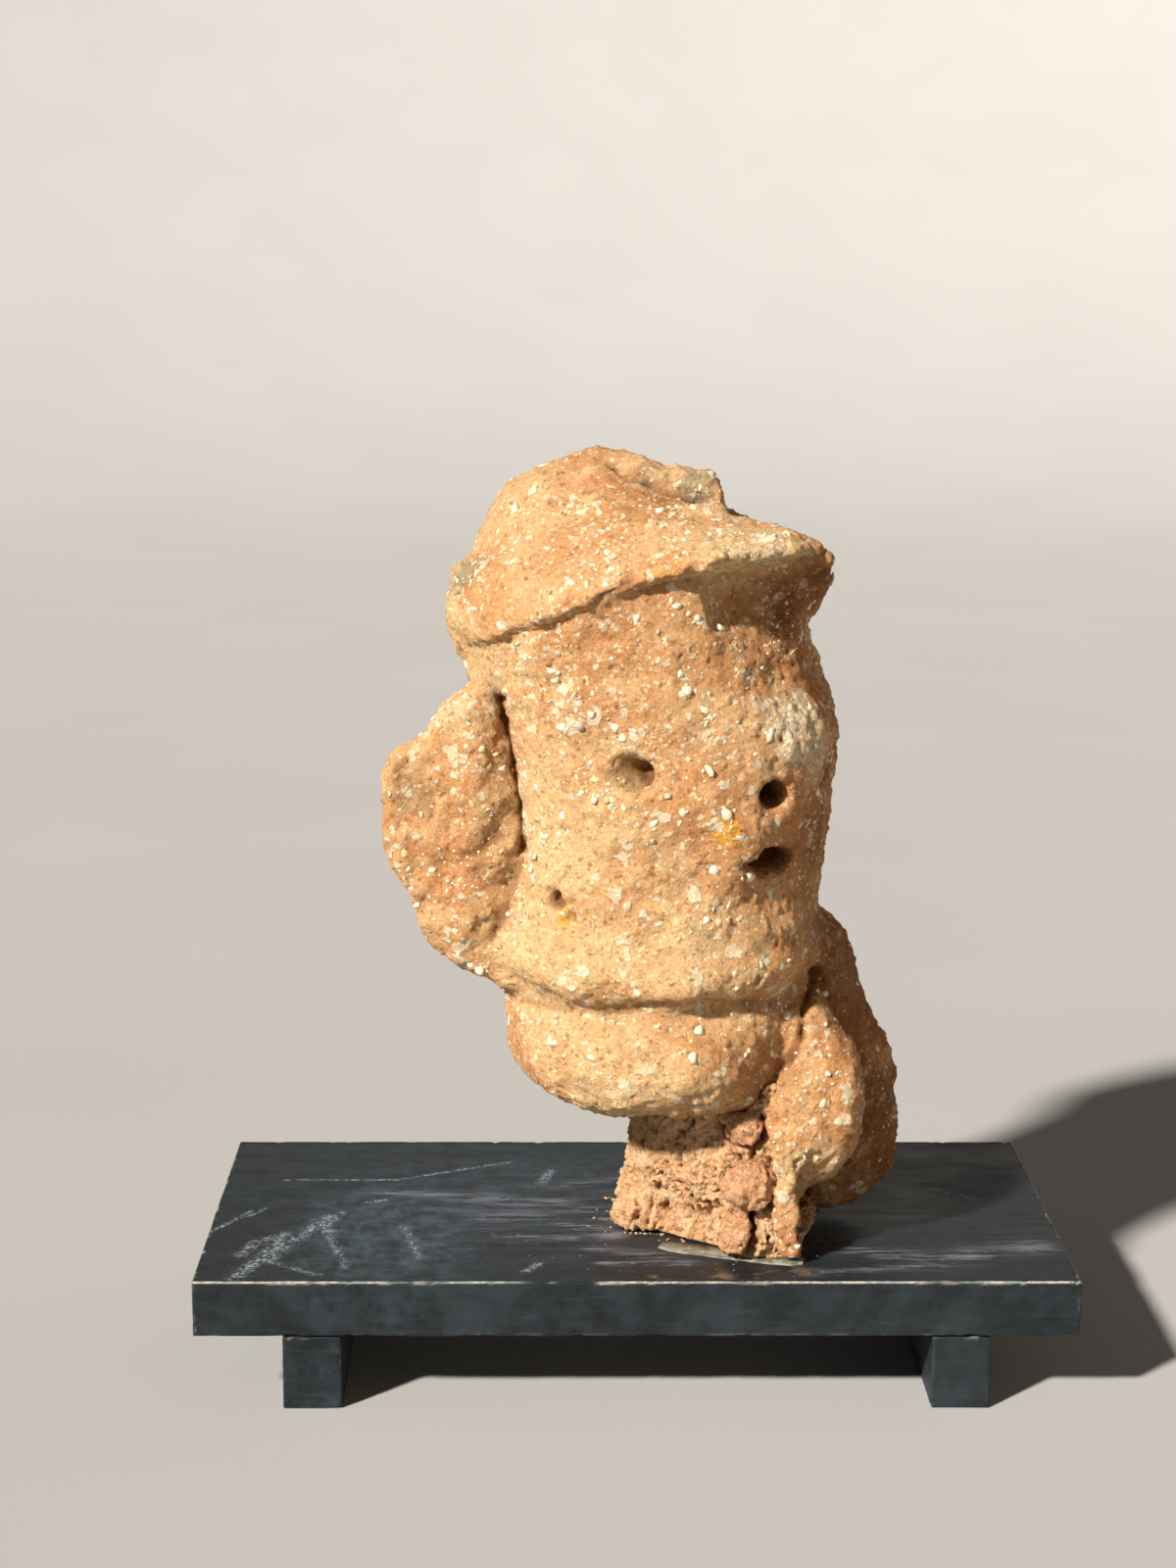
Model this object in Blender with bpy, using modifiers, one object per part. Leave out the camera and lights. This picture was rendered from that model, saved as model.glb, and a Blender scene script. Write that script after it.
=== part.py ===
"""A terracotta bust fragment on a low black wooden stand.

Metres, +Z up. The origin is the middle of the stand's footprint, on the surface that it stands on.
+X runs along the stand to the viewer's right, and +Y runs away from the viewer.
"""

import math

import bmesh
import bpy
import numpy as np
from mathutils import Euler, Matrix, Vector, noise

# The stand
BOARD_LENGTH = 0.300
BOARD_DEPTH = 0.150
BOARD_THICKNESS = 0.0195
FOOT_WIDTH = 0.020
FOOT_HEIGHT = 0.026
FOOT_INSET = 0.030  # end of the board to the outer side of a foot
FOOT_SETBACK = 0.001  # front of the board to the front of a foot
EDGE_ROUND = 0.0008
SEAT_GAP = 0.0003  # between a piece and what it rests on
BED_GAP = 0.0004  # between the bust and the mortar that it is bedded in

# The bust: its height above the board, and where its axis stands from the middle of the board
FIGURE_HEIGHT = 0.275
FIGURE_X = 0.015
FIGURE_Y = -0.012

# Every form of the bust is drawn in shares of its height, in drawn millimetres of this size
DRAWN_HEIGHT = 275.0
MM = FIGURE_HEIGHT / DRAWN_HEIGHT

HEAD_VOXEL = 1.9
MORTAR_VOXEL = 2.0
HEAD_TRIANGLES = 7200
MORTAR_TRIANGLES = 1700
HEAD_SOFTENING = 4  # rounds of smoothing
MORTAR_SOFTENING = 3
BLOB_SUBDIVISIONS = 3
PIT_SUBDIVISIONS = 2
TURNED_SPOKES = 96
BEAD_STEP = 0.3  # of a strand's least radius
WEAR_SPAN = 24.0
WEAR_DEPTH = 2.2
WEAR_FINER = 0.45  # a second, finer wave, by this share of the first's span and depth

BOARD_TOP = FOOT_HEIGHT + SEAT_GAP + BOARD_THICKNESS
FIGURE_ORIGIN = Vector((FIGURE_X, FIGURE_Y, BOARD_TOP))

# Angles in plan are in degrees from +X. The face looks to the viewer's right.
FACE_ANGLE = -56.0


def clear_scene():
    for obj in list(bpy.data.objects):
        bpy.data.objects.remove(obj)


def material(name, colour, roughness):
    made = bpy.data.materials.new(name)
    made.use_nodes = True
    shader = made.node_tree.nodes["Principled BSDF"]
    shader.inputs["Base Color"].default_value = (*colour, 1.0)
    shader.inputs["Roughness"].default_value = roughness
    shader.inputs["Metallic"].default_value = 0.0
    return made


def new_object(name, mesh, collection, look=None):
    obj = bpy.data.objects.new(name, mesh)
    collection.objects.link(obj)
    if look:
        obj.data.materials.append(look)
    return obj


def evaluated_mesh(obj):
    """The object's mesh with its modifiers applied."""
    graph = bpy.context.evaluated_depsgraph_get()
    return bpy.data.meshes.new_from_object(obj.evaluated_get(graph))


def with_modifiers(mesh, helpers, *steps):
    """The mesh after these modifiers. Each step is a modifier type and its settings."""
    obj = new_object("step", mesh, helpers)
    for kind, settings in steps:
        modifier = obj.modifiers.new(kind.lower(), kind)
        for key, value in settings.items():
            setattr(modifier, key, value)
    made = evaluated_mesh(obj)
    bpy.data.objects.remove(obj)
    return made


def fused(voxel, softening):
    """Steps that make overlapping shapes one skin and soften where they meet."""
    return (
        ("REMESH", {"mode": "VOXEL", "voxel_size": voxel * MM, "adaptivity": 0.0}),
        ("SMOOTH", {"factor": 0.5, "iterations": softening}),
    )


def worn(mesh):
    """The mesh pushed in and out a little along its normals, as if shaped by hand and long worn."""
    normals = [vertex.normal.copy() for vertex in mesh.vertices]
    for vertex, normal in zip(mesh.vertices, normals):
        broad = noise.noise(vertex.co / (WEAR_SPAN * MM))
        fine = noise.noise(vertex.co / (WEAR_SPAN * MM * WEAR_FINER))
        vertex.co += normal * (WEAR_DEPTH * MM * (broad + WEAR_FINER * fine))
    return mesh


def thinned(mesh, helpers, triangles):
    """The mesh simplified to about this many triangles."""
    whole = with_modifiers(mesh, helpers, ("TRIANGULATE", {}))
    share = min(1.0, triangles / len(whole.polygons))
    return with_modifiers(whole, helpers, ("DECIMATE", {"ratio": share}))


class Clay:
    """Overlapping closed shapes, in drawn millimetres from the bust's axis on the board."""

    def __init__(self):
        self.shapes = bmesh.new()

    def blob(self, centre, radii, turn=(0, 0, 0)):
        angles = Euler([math.radians(angle) for angle in turn])
        place = Matrix.LocRotScale(Vector(centre) * MM, angles, Vector(radii) * MM)
        bmesh.ops.create_icosphere(
            self.shapes, subdivisions=BLOB_SUBDIVISIONS, radius=1.0, matrix=place
        )

    def strand(self, start, end, start_radii, end_radii):
        """A tapering limb: a close row of blobs from one centre to the other."""
        length = (Vector(end) - Vector(start)).length
        steps = math.ceil(length / (BEAD_STEP * min(*start_radii, *end_radii)))
        for step in range(steps + 1):
            share = step / steps
            centre = Vector(start).lerp(Vector(end), share)
            self.blob(centre, Vector(start_radii).lerp(Vector(end_radii), share))

    def plate(self, outline, front, back):
        """A slab with this outline in X and Z, between two depths in Y."""
        near = [self.shapes.verts.new(Vector((x, front, z)) * MM) for x, z in outline]
        far = [self.shapes.verts.new(Vector((x, back, z)) * MM) for x, z in outline]
        self.close(near, far)

    def slab(self, outline, bottom, top):
        """A slab with this outline in X and Y, between two heights."""
        rings = []
        for height in (bottom, top):
            rings.append(
                [self.shapes.verts.new(Vector((x, y, height)) * MM) for x, y in outline]
            )
        self.close(*rings)

    def close(self, near, far):
        """Joins two matching rings of points by a band and closes both ends."""
        self.shapes.faces.new(near)
        self.shapes.faces.new(far[::-1])
        for i in range(len(near)):
            j = (i + 1) % len(near)
            self.shapes.faces.new((near[j], near[i], far[i], far[j]))

    def turned(self, centre, profile):
        """A closed form about an upright axis. profile(angle) gives points (radius, height) from the bottom."""
        angles = [math.tau * spoke / TURNED_SPOKES for spoke in range(TURNED_SPOKES)]
        rings = []
        for level in zip(*(profile(angle) for angle in angles)):
            ring = []
            for angle, (radius, height) in zip(angles, level):
                x = centre[0] + radius * math.cos(angle)
                y = centre[1] + radius * math.sin(angle)
                ring.append(self.shapes.verts.new(Vector((x, y, height)) * MM))
            rings.append(ring)
        for lower, upper in zip(rings, rings[1:]):
            for i in range(TURNED_SPOKES):
                j = (i + 1) % TURNED_SPOKES
                self.shapes.faces.new((lower[i], lower[j], upper[j], upper[i]))
        self.shapes.faces.new(rings[0][::-1])
        self.shapes.faces.new(rings[-1])

    def mesh(self, name):
        made = bpy.data.meshes.new(name)
        bmesh.ops.recalc_face_normals(self.shapes, faces=self.shapes.faces[:])
        self.shapes.to_mesh(made)
        self.shapes.free()
        return made


def cut_below(mesh, height):
    """The part of a closed mesh above a level, closed again with a flat face."""
    work = bmesh.new()
    work.from_mesh(mesh)
    cut = bmesh.ops.bisect_plane(
        work,
        geom=work.verts[:] + work.edges[:] + work.faces[:],
        plane_co=(0, 0, height * MM),
        plane_no=(0, 0, 1),
        clear_inner=True,
    )
    rim = [item for item in cut["geom_cut"] if isinstance(item, bmesh.types.BMEdge)]
    bmesh.ops.holes_fill(work, edges=rim)
    bmesh.ops.triangulate(work, faces=work.faces[:])
    made = bpy.data.meshes.new(mesh.name)
    work.to_mesh(made)
    work.free()
    return made


def hump(angle, peak, width, width_before=None):
    """1 at the peak angle, in degrees, falling smoothly away on both sides."""
    away = (math.degrees(angle) - peak + 180.0) % 360.0 - 180.0
    if width_before and away < 0:
        width = width_before
    return math.exp(-((away / width) ** 2))


def around(angle, level, *humps):
    """A level with humps on it. Each hump is its amount and where it is."""
    return level + sum(amount * hump(angle, *place) for amount, *place in humps)


# The body's outline at each height: left, right, front and back
BODY = (
    (50, -26, 20, -32, 28),
    (52, -41, 31, -45, 38),
    (57, -53, 38, -53, 44),
    (65, -58, 42, -57, 48),
    (74, -60, 44, -58, 50),
    (83, -61, 45, -57, 50),
    (92, -59, 46, -52, 48),
    (100, -62, 48, -56, 50),
    (115, -62, 49, -55, 50),
    (135, -61, 50, -55, 51),
    (155, -62, 54, -57, 53),
    (172, -63, 56, -57, 54),
    (188, -67, 54, -56, 54),
    (200, -73, 50, -54, 53),
    (214, -75, 47, -50, 51),
    (236, -64, 40, -42, 44),
)

# Swellings (+) and hollows (-) of the body: angle, height, half-width in degrees, half-height, and rise
RELIEF = (
    (-38, 182, 30, 13, 3.6),  # far brow
    (-56, 149, 24, 20, 4.2),  # muzzle
    (-62, 118, 34, 9, 2.0),  # chin
    (-96, 172, 17, 13, -2.4),  # round the near eye
    (-12, 161, 15, 13, -2.8),  # round the far eye
    (-104, 155, 20, 8, 1.6),  # cheek under the near eye
    (-100, 206, 40, 12, 1.5),  # forehead
    (-72, 69, 20, 13, 4.5),  # lump on the chest
)
BODY_AXIS = (-8.0, -2.0)
LEVEL_STEP = 3.0


def smooth_between(rows, height):
    """The row at this height on a smooth curve through the rows, whose first numbers are their heights."""
    spot = 0
    while spot < len(rows) - 2 and rows[spot + 1][0] < height:
        spot += 1
    near = [rows[min(max(spot + k, 0), len(rows) - 1)] for k in (-1, 0, 1, 2)]
    p0, p1, p2, p3 = (np.array(row[1:], float) for row in near)
    t = (height - near[1][0]) / (near[2][0] - near[1][0])
    bend = (2 * p0 - 5 * p1 + 4 * p2 - p3) * t**2 + (3 * p1 - p0 - 3 * p2 + p3) * t**3
    return p1 + 0.5 * ((p2 - p0) * t + bend)


def body_profile(angle):
    """The body's radius from its axis at each height."""
    across, along = math.cos(angle), math.sin(angle)
    column = []
    for height in np.arange(BODY[0][0], BODY[-1][0] + LEVEL_STEP / 2, LEVEL_STEP):
        left, right, front, back = smooth_between(BODY, height)
        side = right - BODY_AXIS[0] if across > 0 else BODY_AXIS[0] - left
        depth = back - BODY_AXIS[1] if along > 0 else BODY_AXIS[1] - front
        radius = 1.0 / math.hypot(across / side, along / depth)
        for peak, level, width, extent, rise in RELIEF:
            fade = math.exp(-(((height - level) / extent) ** 2))
            radius += rise * hump(angle, peak, width) * fade
        column.append((radius, height))
    return column


# The chin roll: a ring round the neck that dips at the front
ROLL_BEADS = 64
ROLL_REACH = (46.5, 45.0)
ROLL_SIZE = (13.0, 13.0, 11.0)
ROLL_HEIGHT = (107.0, (-5.0, -90, 55))


def add_chin_roll(clay):
    for bead in range(ROLL_BEADS):
        angle = math.tau * bead / ROLL_BEADS
        x = BODY_AXIS[0] + ROLL_REACH[0] * math.cos(angle)
        y = BODY_AXIS[1] + ROLL_REACH[1] * math.sin(angle)
        clay.blob((x, y, around(angle, *ROLL_HEIGHT)), ROLL_SIZE)


# The cap's band hangs steeply at the viewer's left and opens into a rising visor over the face.
# Each is a level and humps on it: amount, angle and half-width, or two half-widths.
HAT_AXIS = (-14.0, 0.0)
RIM_REACH = (63, (9, -38, 35), (4, 180, 40))
RIM_HEIGHT = (209, (27, -50, 34, 68))
RIM_TILT = 8  # up at the face and down behind
RIM_EDGE = (5, (22, 180, 42), (5, -15, 22), (7, 90, 50))
RIM_LIP = 3
UNDERCUT = (2, (15, -45, 42))
UNDERCUT_REACH = 0.72  # of the rim's
VALLEY_REACH = (31, (26, 180, 48), (14, 90, 45))  # where the crown rises out of the band
VALLEY_HEIGHT = (258, (-21, 180, 55), (-14, 100, 50))


def hat_profile(angle):
    """The cap without its crown: its underside, rim, band and top."""
    reach = around(angle, *RIM_REACH)
    tilt = RIM_TILT * math.cos(angle - math.radians(FACE_ANGLE))
    rim = around(angle, *RIM_HEIGHT) + tilt
    edge = around(angle, *RIM_EDGE)
    underside = rim - around(angle, *UNDERCUT)
    valley = around(angle, *VALLEY_REACH)
    valley_height = around(angle, *VALLEY_HEIGHT)
    return [
        (8, underside),
        (reach * UNDERCUT_REACH, underside),
        (reach - RIM_LIP, rim),
        (reach, rim + edge * 0.4),
        (reach - RIM_LIP, rim + edge),
        ((reach + valley) / 2, (rim + edge + valley_height) / 2 + 1),
        (valley, valley_height),
        (valley * 0.4, valley_height + 4),
    ]


def add_hat(clay):
    """The cap: its band and visor, the domed crown, and the broken knob on it."""
    clay.turned(HAT_AXIS, hat_profile)
    clay.blob((-30, 8, 231), (43, 40, 43))
    clay.strand((-24, 2, 264), (0, -3, 260), (14, 13, 9), (10, 9, 8))
    clay.blob((5, -4, 260), (10, 11, 9))


FLAP_OUTLINE = (
    (-69, 196),
    (-79, 189),
    (-87, 178),
    (-98, 172),
    (-103, 155),
    (-101, 141),
    (-94, 127),
    (-89, 114),
    (-77, 100),
    (-60, 91),
    (-44, 96),
    (-44, 186),
)


def add_flap(clay):
    """The big ear-like flap at the side of the head, and the worn root of one behind the far cheek."""
    clay.plate(FLAP_OUTLINE, -25, -6)
    clay.strand((-70, -20, 184), (-67, -19, 140), (8, 9, 9), (12, 12, 14))
    clay.blob((-74, -16, 119), (17, 13, 19), (0, 25, 0))
    clay.blob((-94, -16, 150), (9, 9, 22), (0, -6, 0))
    clay.strand((7, 50, 176), (4, 48, 132), (9, 9, 8), (10, 9, 9))


def add_arm(clay):
    """The stump of the shoulder and upper arm, hanging beside the neck."""
    clay.strand((45, 6, 103), (56.5, 6, 52), (14, 21, 12), (21.5, 23, 20))
    clay.strand((56.5, 6, 52), (57, 6, 30), (21.5, 23, 20), (22, 24, 27))
    clay.strand((40, -24, 82), (49, -29, 55), (10, 13, 12), (15, 16, 26))
    clay.plate(((36, 14), (43, 14), (46, 46), (35, 46)), -47, -28)


def head_mesh(helpers):
    clay = Clay()
    clay.turned(BODY_AXIS, body_profile)
    add_chin_roll(clay)
    add_hat(clay)
    add_flap(clay)
    add_arm(clay)
    steps = fused(HEAD_VOXEL, HEAD_SOFTENING)
    return worn(with_modifiers(clay.mesh("head"), helpers, *steps))


# Each pit is punched in: its centre on the skin, its radii, and its turn in plan
PITS = (
    ("near_eye", (-18, -56, 173), (6.4, 6, 6.2), 0),
    ("nostril", (28, -46, 165), (4.4, 11, 4.8), 34),
    ("mouth", (29, -46, 142), (8.6, 14, 4.8), 34),
    ("far_eye", (50, -20, 164), (5, 6, 6), 65),
)


def pit_cutter(name, centre, radii, turn, collection):
    work = bmesh.new()
    place = Matrix.LocRotScale(
        Vector(centre) * MM, Euler((0, 0, math.radians(turn))), Vector(radii) * MM
    )
    bmesh.ops.create_icosphere(
        work, subdivisions=PIT_SUBDIVISIONS, radius=1.0, matrix=place
    )
    mesh = bpy.data.meshes.new(name)
    work.to_mesh(mesh)
    work.free()
    cutter = new_object(name, mesh, collection)
    cutter.location = FIGURE_ORIGIN
    cutter.hide_render = True
    cutter.display_type = "WIRE"
    return cutter


def build_head(pieces, cutters, helpers, look):
    mesh = thinned(head_mesh(helpers), helpers, HEAD_TRIANGLES)
    head = new_object("terracotta_head", mesh, pieces, look)
    head.location = FIGURE_ORIGIN
    for name, centre, radii, turn in PITS:
        cut = head.modifiers.new(name, "BOOLEAN")
        cut.operation = "DIFFERENCE"
        cut.object = pit_cutter(f"{name}_cutter", centre, radii, turn, cutters)
    return head


MORTAR_OUTLINE = (
    (-20, 5),
    (-10, -11),
    (3, -24),
    (18, -33),
    (34, -43),
    (35, -26),
    (38, 2),
    (32, 24),
    (14, 32),
    (-8, 24),
)
MORTAR_BASE = ((18, -33), (45, -45), (51, -22), (47, 6), (30, 12))
MORTAR_TOP = 62
MORTAR_BASE_TOP = 12
MORTAR_SUNK = 4  # drawn below the board and cut off level


def build_mortar(pieces, cutters, helpers, look, head):
    """The rough bed of clay mortar that the neck is set in. The head cuts its top."""
    clay = Clay()
    clay.slab(MORTAR_OUTLINE, -MORTAR_SUNK, MORTAR_TOP)
    clay.slab(MORTAR_BASE, -MORTAR_SUNK, MORTAR_BASE_TOP)
    clay.blob((24, -37, 25), (9, 8, 9))
    clay.blob((22, -37, 7), (8, 8, 7))
    clay.blob((26, -33, 44), (7, 7, 6))
    clay.blob((-10, -6, 4), (12, 10, 8))
    steps = fused(MORTAR_VOXEL, MORTAR_SOFTENING)
    rough = worn(with_modifiers(clay.mesh("rough"), helpers, *steps))
    thin = thinned(rough, helpers, MORTAR_TRIANGLES)
    flat = cut_below(thin, SEAT_GAP / MM)
    mortar = new_object("clay_mortar_bed", flat, pieces, look)
    mortar.location = FIGURE_ORIGIN

    swollen = new_object("head_clearance", evaluated_mesh(head), cutters)
    swollen.location = FIGURE_ORIGIN
    swollen.hide_render = True
    swollen.display_type = "WIRE"
    swell = swollen.modifiers.new("clearance", "DISPLACE")
    swell.strength = BED_GAP
    swell.mid_level = 0.0
    cut = mortar.modifiers.new("seat", "BOOLEAN")
    cut.operation = "DIFFERENCE"
    cut.object = swollen


def build_box(name, size, centre, pieces, look):
    work = bmesh.new()
    bmesh.ops.create_cube(work, size=1.0, matrix=Matrix.Diagonal((*size, 1.0)))
    mesh = bpy.data.meshes.new(name)
    work.to_mesh(mesh)
    work.free()
    box = new_object(name, mesh, pieces, look)
    box.location = centre
    rounding = box.modifiers.new("rounded_edges", "BEVEL")
    rounding.width = EDGE_ROUND
    rounding.segments = 2


def build_stand(pieces, look):
    build_box(
        "stand_board",
        (BOARD_LENGTH, BOARD_DEPTH, BOARD_THICKNESS),
        (0, 0, BOARD_TOP - BOARD_THICKNESS / 2),
        pieces,
        look,
    )
    foot_x = BOARD_LENGTH / 2 - FOOT_INSET - FOOT_WIDTH / 2
    for name, side in (("left_foot", -1), ("right_foot", 1)):
        build_box(
            name,
            (FOOT_WIDTH, BOARD_DEPTH - 2 * FOOT_SETBACK, FOOT_HEIGHT),
            (side * foot_x, 0, FOOT_HEIGHT / 2),
            pieces,
            look,
        )


def main():
    clear_scene()
    scene = bpy.context.scene.collection
    pieces = bpy.data.collections.new("Terracotta bust")
    cutters = bpy.data.collections.new("Cutters")
    helpers = bpy.data.collections.new("Helpers")
    for collection in (pieces, cutters, helpers):
        scene.children.link(collection)
    fired_clay = material("fired_clay", (0.62, 0.36, 0.17), 0.92)
    raw_mortar = material("clay_mortar", (0.50, 0.26, 0.13), 0.95)
    black_paint = material("black_paint", (0.022, 0.026, 0.030), 0.45)
    head = build_head(pieces, cutters, helpers, fired_clay)
    build_mortar(pieces, cutters, helpers, raw_mortar, head)
    build_stand(pieces, black_paint)


main()
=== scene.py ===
"""The terracotta bust's finished look: gritty fired clay, crumbling mortar and scuffed black paint."""
import math

import bmesh
import bpy
import numpy as np
from mathutils import Matrix, Vector


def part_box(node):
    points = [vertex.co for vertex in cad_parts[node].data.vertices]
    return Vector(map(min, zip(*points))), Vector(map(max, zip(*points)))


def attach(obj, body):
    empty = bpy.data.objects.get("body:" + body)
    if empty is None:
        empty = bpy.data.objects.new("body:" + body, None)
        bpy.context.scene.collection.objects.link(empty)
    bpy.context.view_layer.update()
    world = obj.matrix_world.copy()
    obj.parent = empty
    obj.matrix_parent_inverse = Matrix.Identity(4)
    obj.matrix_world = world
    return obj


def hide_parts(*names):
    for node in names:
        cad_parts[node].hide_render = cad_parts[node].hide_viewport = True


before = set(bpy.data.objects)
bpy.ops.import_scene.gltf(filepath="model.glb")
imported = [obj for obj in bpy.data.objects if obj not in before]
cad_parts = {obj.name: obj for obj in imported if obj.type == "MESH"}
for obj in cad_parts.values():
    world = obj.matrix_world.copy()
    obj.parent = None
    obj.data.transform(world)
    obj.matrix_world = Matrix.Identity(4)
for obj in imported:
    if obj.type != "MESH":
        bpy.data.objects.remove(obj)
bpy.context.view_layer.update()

MM = 0.001
BOARD_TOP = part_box("stand_board")[1].z
# Where the carving's own axes start, which are in mm: the figure's middle, on the board's top
FIGURE = np.array((0.015, -0.012, BOARD_TOP))


# Numbers that repeat each run

def corner_values(ix, iy, iz, seed):
    """A repeatable number from 0 to 1 for each whole-number place."""
    n = (ix * 73856093) ^ (iy * 19349663) ^ (iz * 83492791) ^ (seed * 265443576)
    n &= 0xFFFFFFFF
    n = ((n ^ (n >> 15)) * 2246822519) & 0xFFFFFFFF
    n = ((n ^ (n >> 13)) * 3266489917) & 0xFFFFFFFF
    return ((n ^ (n >> 16)) & 0xFFFFFF) / float(0xFFFFFF)


def swell(points, size, seed):
    """Smooth noise from -1 to 1 whose lumps are about size across. A size may differ by axis."""
    p = points / np.asarray(size, float)
    low = np.floor(p)
    f = p - low
    f = f * f * f * (f * (f * 6 - 15) + 10)
    low = low.astype(np.int64)
    total = np.zeros(len(p))
    for dx in (0, 1):
        wx = f[:, 0] if dx else 1 - f[:, 0]
        for dy in (0, 1):
            wy = f[:, 1] if dy else 1 - f[:, 1]
            for dz in (0, 1):
                wz = f[:, 2] if dz else 1 - f[:, 2]
                total += wx * wy * wz * corner_values(low[:, 0] + dx, low[:, 1] + dy, low[:, 2] + dz, seed)
    return total * 2 - 1


def crags(points, size, seed, octaves=3, keep=0.55):
    """Several sizes of noise added up, about -1 to 1."""
    total, weight, sum_weight = np.zeros(len(points)), 1.0, 0.0
    for k in range(octaves):
        total += weight * swell(points + 17.3 * k, np.asarray(size, float) / 2 ** k, seed + k)
        sum_weight += weight
        weight *= keep
    return total / sum_weight * 1.6


def grains(points, size, seed):
    """For each point: how far the nearest scattered seed is, in sizes, and that seed's own number."""
    p = points / size
    low = np.floor(p).astype(np.int64)
    best = np.full(len(p), 9.0)
    owner = np.zeros(len(p))
    for dx in (-1, 0, 1):
        for dy in (-1, 0, 1):
            for dz in (-1, 0, 1):
                c = low + (dx, dy, dz)
                jitter = np.stack([corner_values(c[:, 0], c[:, 1], c[:, 2], seed + k) for k in (0, 1, 2)], 1)
                d = np.linalg.norm(c + jitter - p, axis=1)
                near = d < best
                best[near] = d[near]
                owner[near] = corner_values(c[:, 0], c[:, 1], c[:, 2], seed + 3)[near]
    return best, owner


def ease(x, low, high):
    """0 below low, 1 above high and a soft step between them."""
    t = np.clip((x - low) / (high - low), 0, 1)
    return t * t * (3 - 2 * t)


def jostled(points, amount, size, seed):
    """Points pushed about by noise, so that what is laid out on them has no straight edges."""
    return points + amount * np.stack([swell(points, size, seed + k) for k in range(3)], 1)


def bead(near, reach):
    """A bump round each seed of grains()."""
    return reach - np.clip(near, 0, reach)


def off_path(points, path):
    """How far each point is from a line through these places."""
    path = np.asarray(path, float)
    best = np.full(len(points), 1e9)
    for a, b in zip(path[:-1], path[1:]):
        ab = b - a
        t = np.clip(((points - a) @ ab) / (ab @ ab), 0, 1)
        best = np.minimum(best, np.linalg.norm(points - a - t[:, None] * ab, axis=1))
    return best


def beside(points, path, half):
    """1 on a line and fading out to about its half width."""
    return np.exp(-(off_path(points, path) / half) ** 2)


def blot(points, middle, reach, power=2):
    """1 in the middle of a spot on the board's top, fading out to its reach."""
    return np.exp(-(((points - middle) / reach) ** power).sum(1))


# Meshes

def piece(name, mesh, slot, material, *nodes):
    """A finished object that rides on the bust's one body and may stand for CAD nodes."""
    obj = bpy.data.objects.new(name, mesh)
    bpy.context.scene.collection.objects.link(obj)
    mesh.materials.clear()
    mesh.materials.append(material)
    if nodes:
        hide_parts(*nodes)
    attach(obj, "root")
    return obj


def remeshed(mesh, voxel):
    """A shape again in small even faces."""
    source = bpy.data.objects.new("source", mesh)
    bpy.context.scene.collection.objects.link(source)
    grid = source.modifiers.new("grid", "REMESH")
    grid.mode, grid.voxel_size, grid.use_smooth_shade = "VOXEL", voxel, True
    graph = bpy.context.evaluated_depsgraph_get()
    even = bpy.data.meshes.new_from_object(source.evaluated_get(graph))
    bpy.data.objects.remove(source)
    bpy.data.meshes.remove(mesh)
    return even


def fine_copy(node, voxel):
    return remeshed(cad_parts[node].data.copy(), voxel)


def read(items, key, width, kind=float):
    """One value of every point, edge or face of a mesh."""
    values = np.zeros(len(items) * width, kind)
    items.foreach_get(key, values)
    return values.reshape(-1, width)


def places(mesh):
    return (read(mesh.vertices, "co", 3) - FIGURE) / MM


def put(mesh, points):
    mesh.vertices.foreach_set("co", (points * MM + FIGURE).ravel())
    mesh.update()


def outward(mesh):
    return read(mesh.vertex_normals, "vector", 3)


class Web:
    """Which points of a mesh are joined, for averages over neighbours."""

    def __init__(self, mesh):
        ends = read(mesh.edges, "vertices", 2, np.int64)
        self.a = np.concatenate((ends[:, 0], ends[:, 1]))
        self.b = np.concatenate((ends[:, 1], ends[:, 0]))
        self.count = len(mesh.vertices)
        self.degree = np.maximum(np.bincount(self.a, minlength=self.count), 1)

    def mean(self, values):
        if values.ndim == 1:
            return np.bincount(self.a, values[self.b], self.count) / self.degree
        return np.stack([self.mean(values[:, k]) for k in range(values.shape[1])], 1)

    def soft(self, values, times, share=0.6):
        for _ in range(times):
            values = values + share * (self.mean(values) - values)
        return values

    def even(self, values, times):
        """Takes out small unevenness without shrinking the form."""
        for _ in range(times):
            values = self.soft(self.soft(values, 1, 0.55), 1, -0.57)
        return self.soft(values, 1, 0.5)


def mark(mesh, name, values):
    """Keeps a number for each point, which the material reads by name."""
    layer = mesh.attributes.new(name, "FLOAT", "POINT")
    layer.data.foreach_set("value", np.clip(values, 0, 1).astype(np.float32))


def triangles(mesh):
    mesh.calc_loop_triangles()
    return read(mesh.loop_triangles, "vertices", 3, np.int64)


def joined(corners, faces, tints, name):
    """One mesh from lists of corner arrays and face arrays, with a tint for each part."""
    mesh = bpy.data.meshes.new(name)
    sizes = [len(c) for c in corners]
    starts = np.concatenate(((0,), np.cumsum(sizes)[:-1]))
    co = np.concatenate(corners) * MM + FIGURE
    tri = np.concatenate([f + s for f, s in zip(faces, starts)])
    mesh.vertices.add(len(co))
    mesh.vertices.foreach_set("co", co.ravel())
    mesh.loops.add(len(tri) * 3)
    mesh.loops.foreach_set("vertex_index", tri.ravel())
    mesh.polygons.add(len(tri))
    mesh.polygons.foreach_set("loop_start", np.arange(0, len(tri) * 3, 3))
    mesh.polygons.foreach_set("loop_total", np.full(len(tri), 3))
    mesh.update(calc_edges=True)
    mark(mesh, "tint", np.repeat(tints, sizes))
    return mesh


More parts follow.
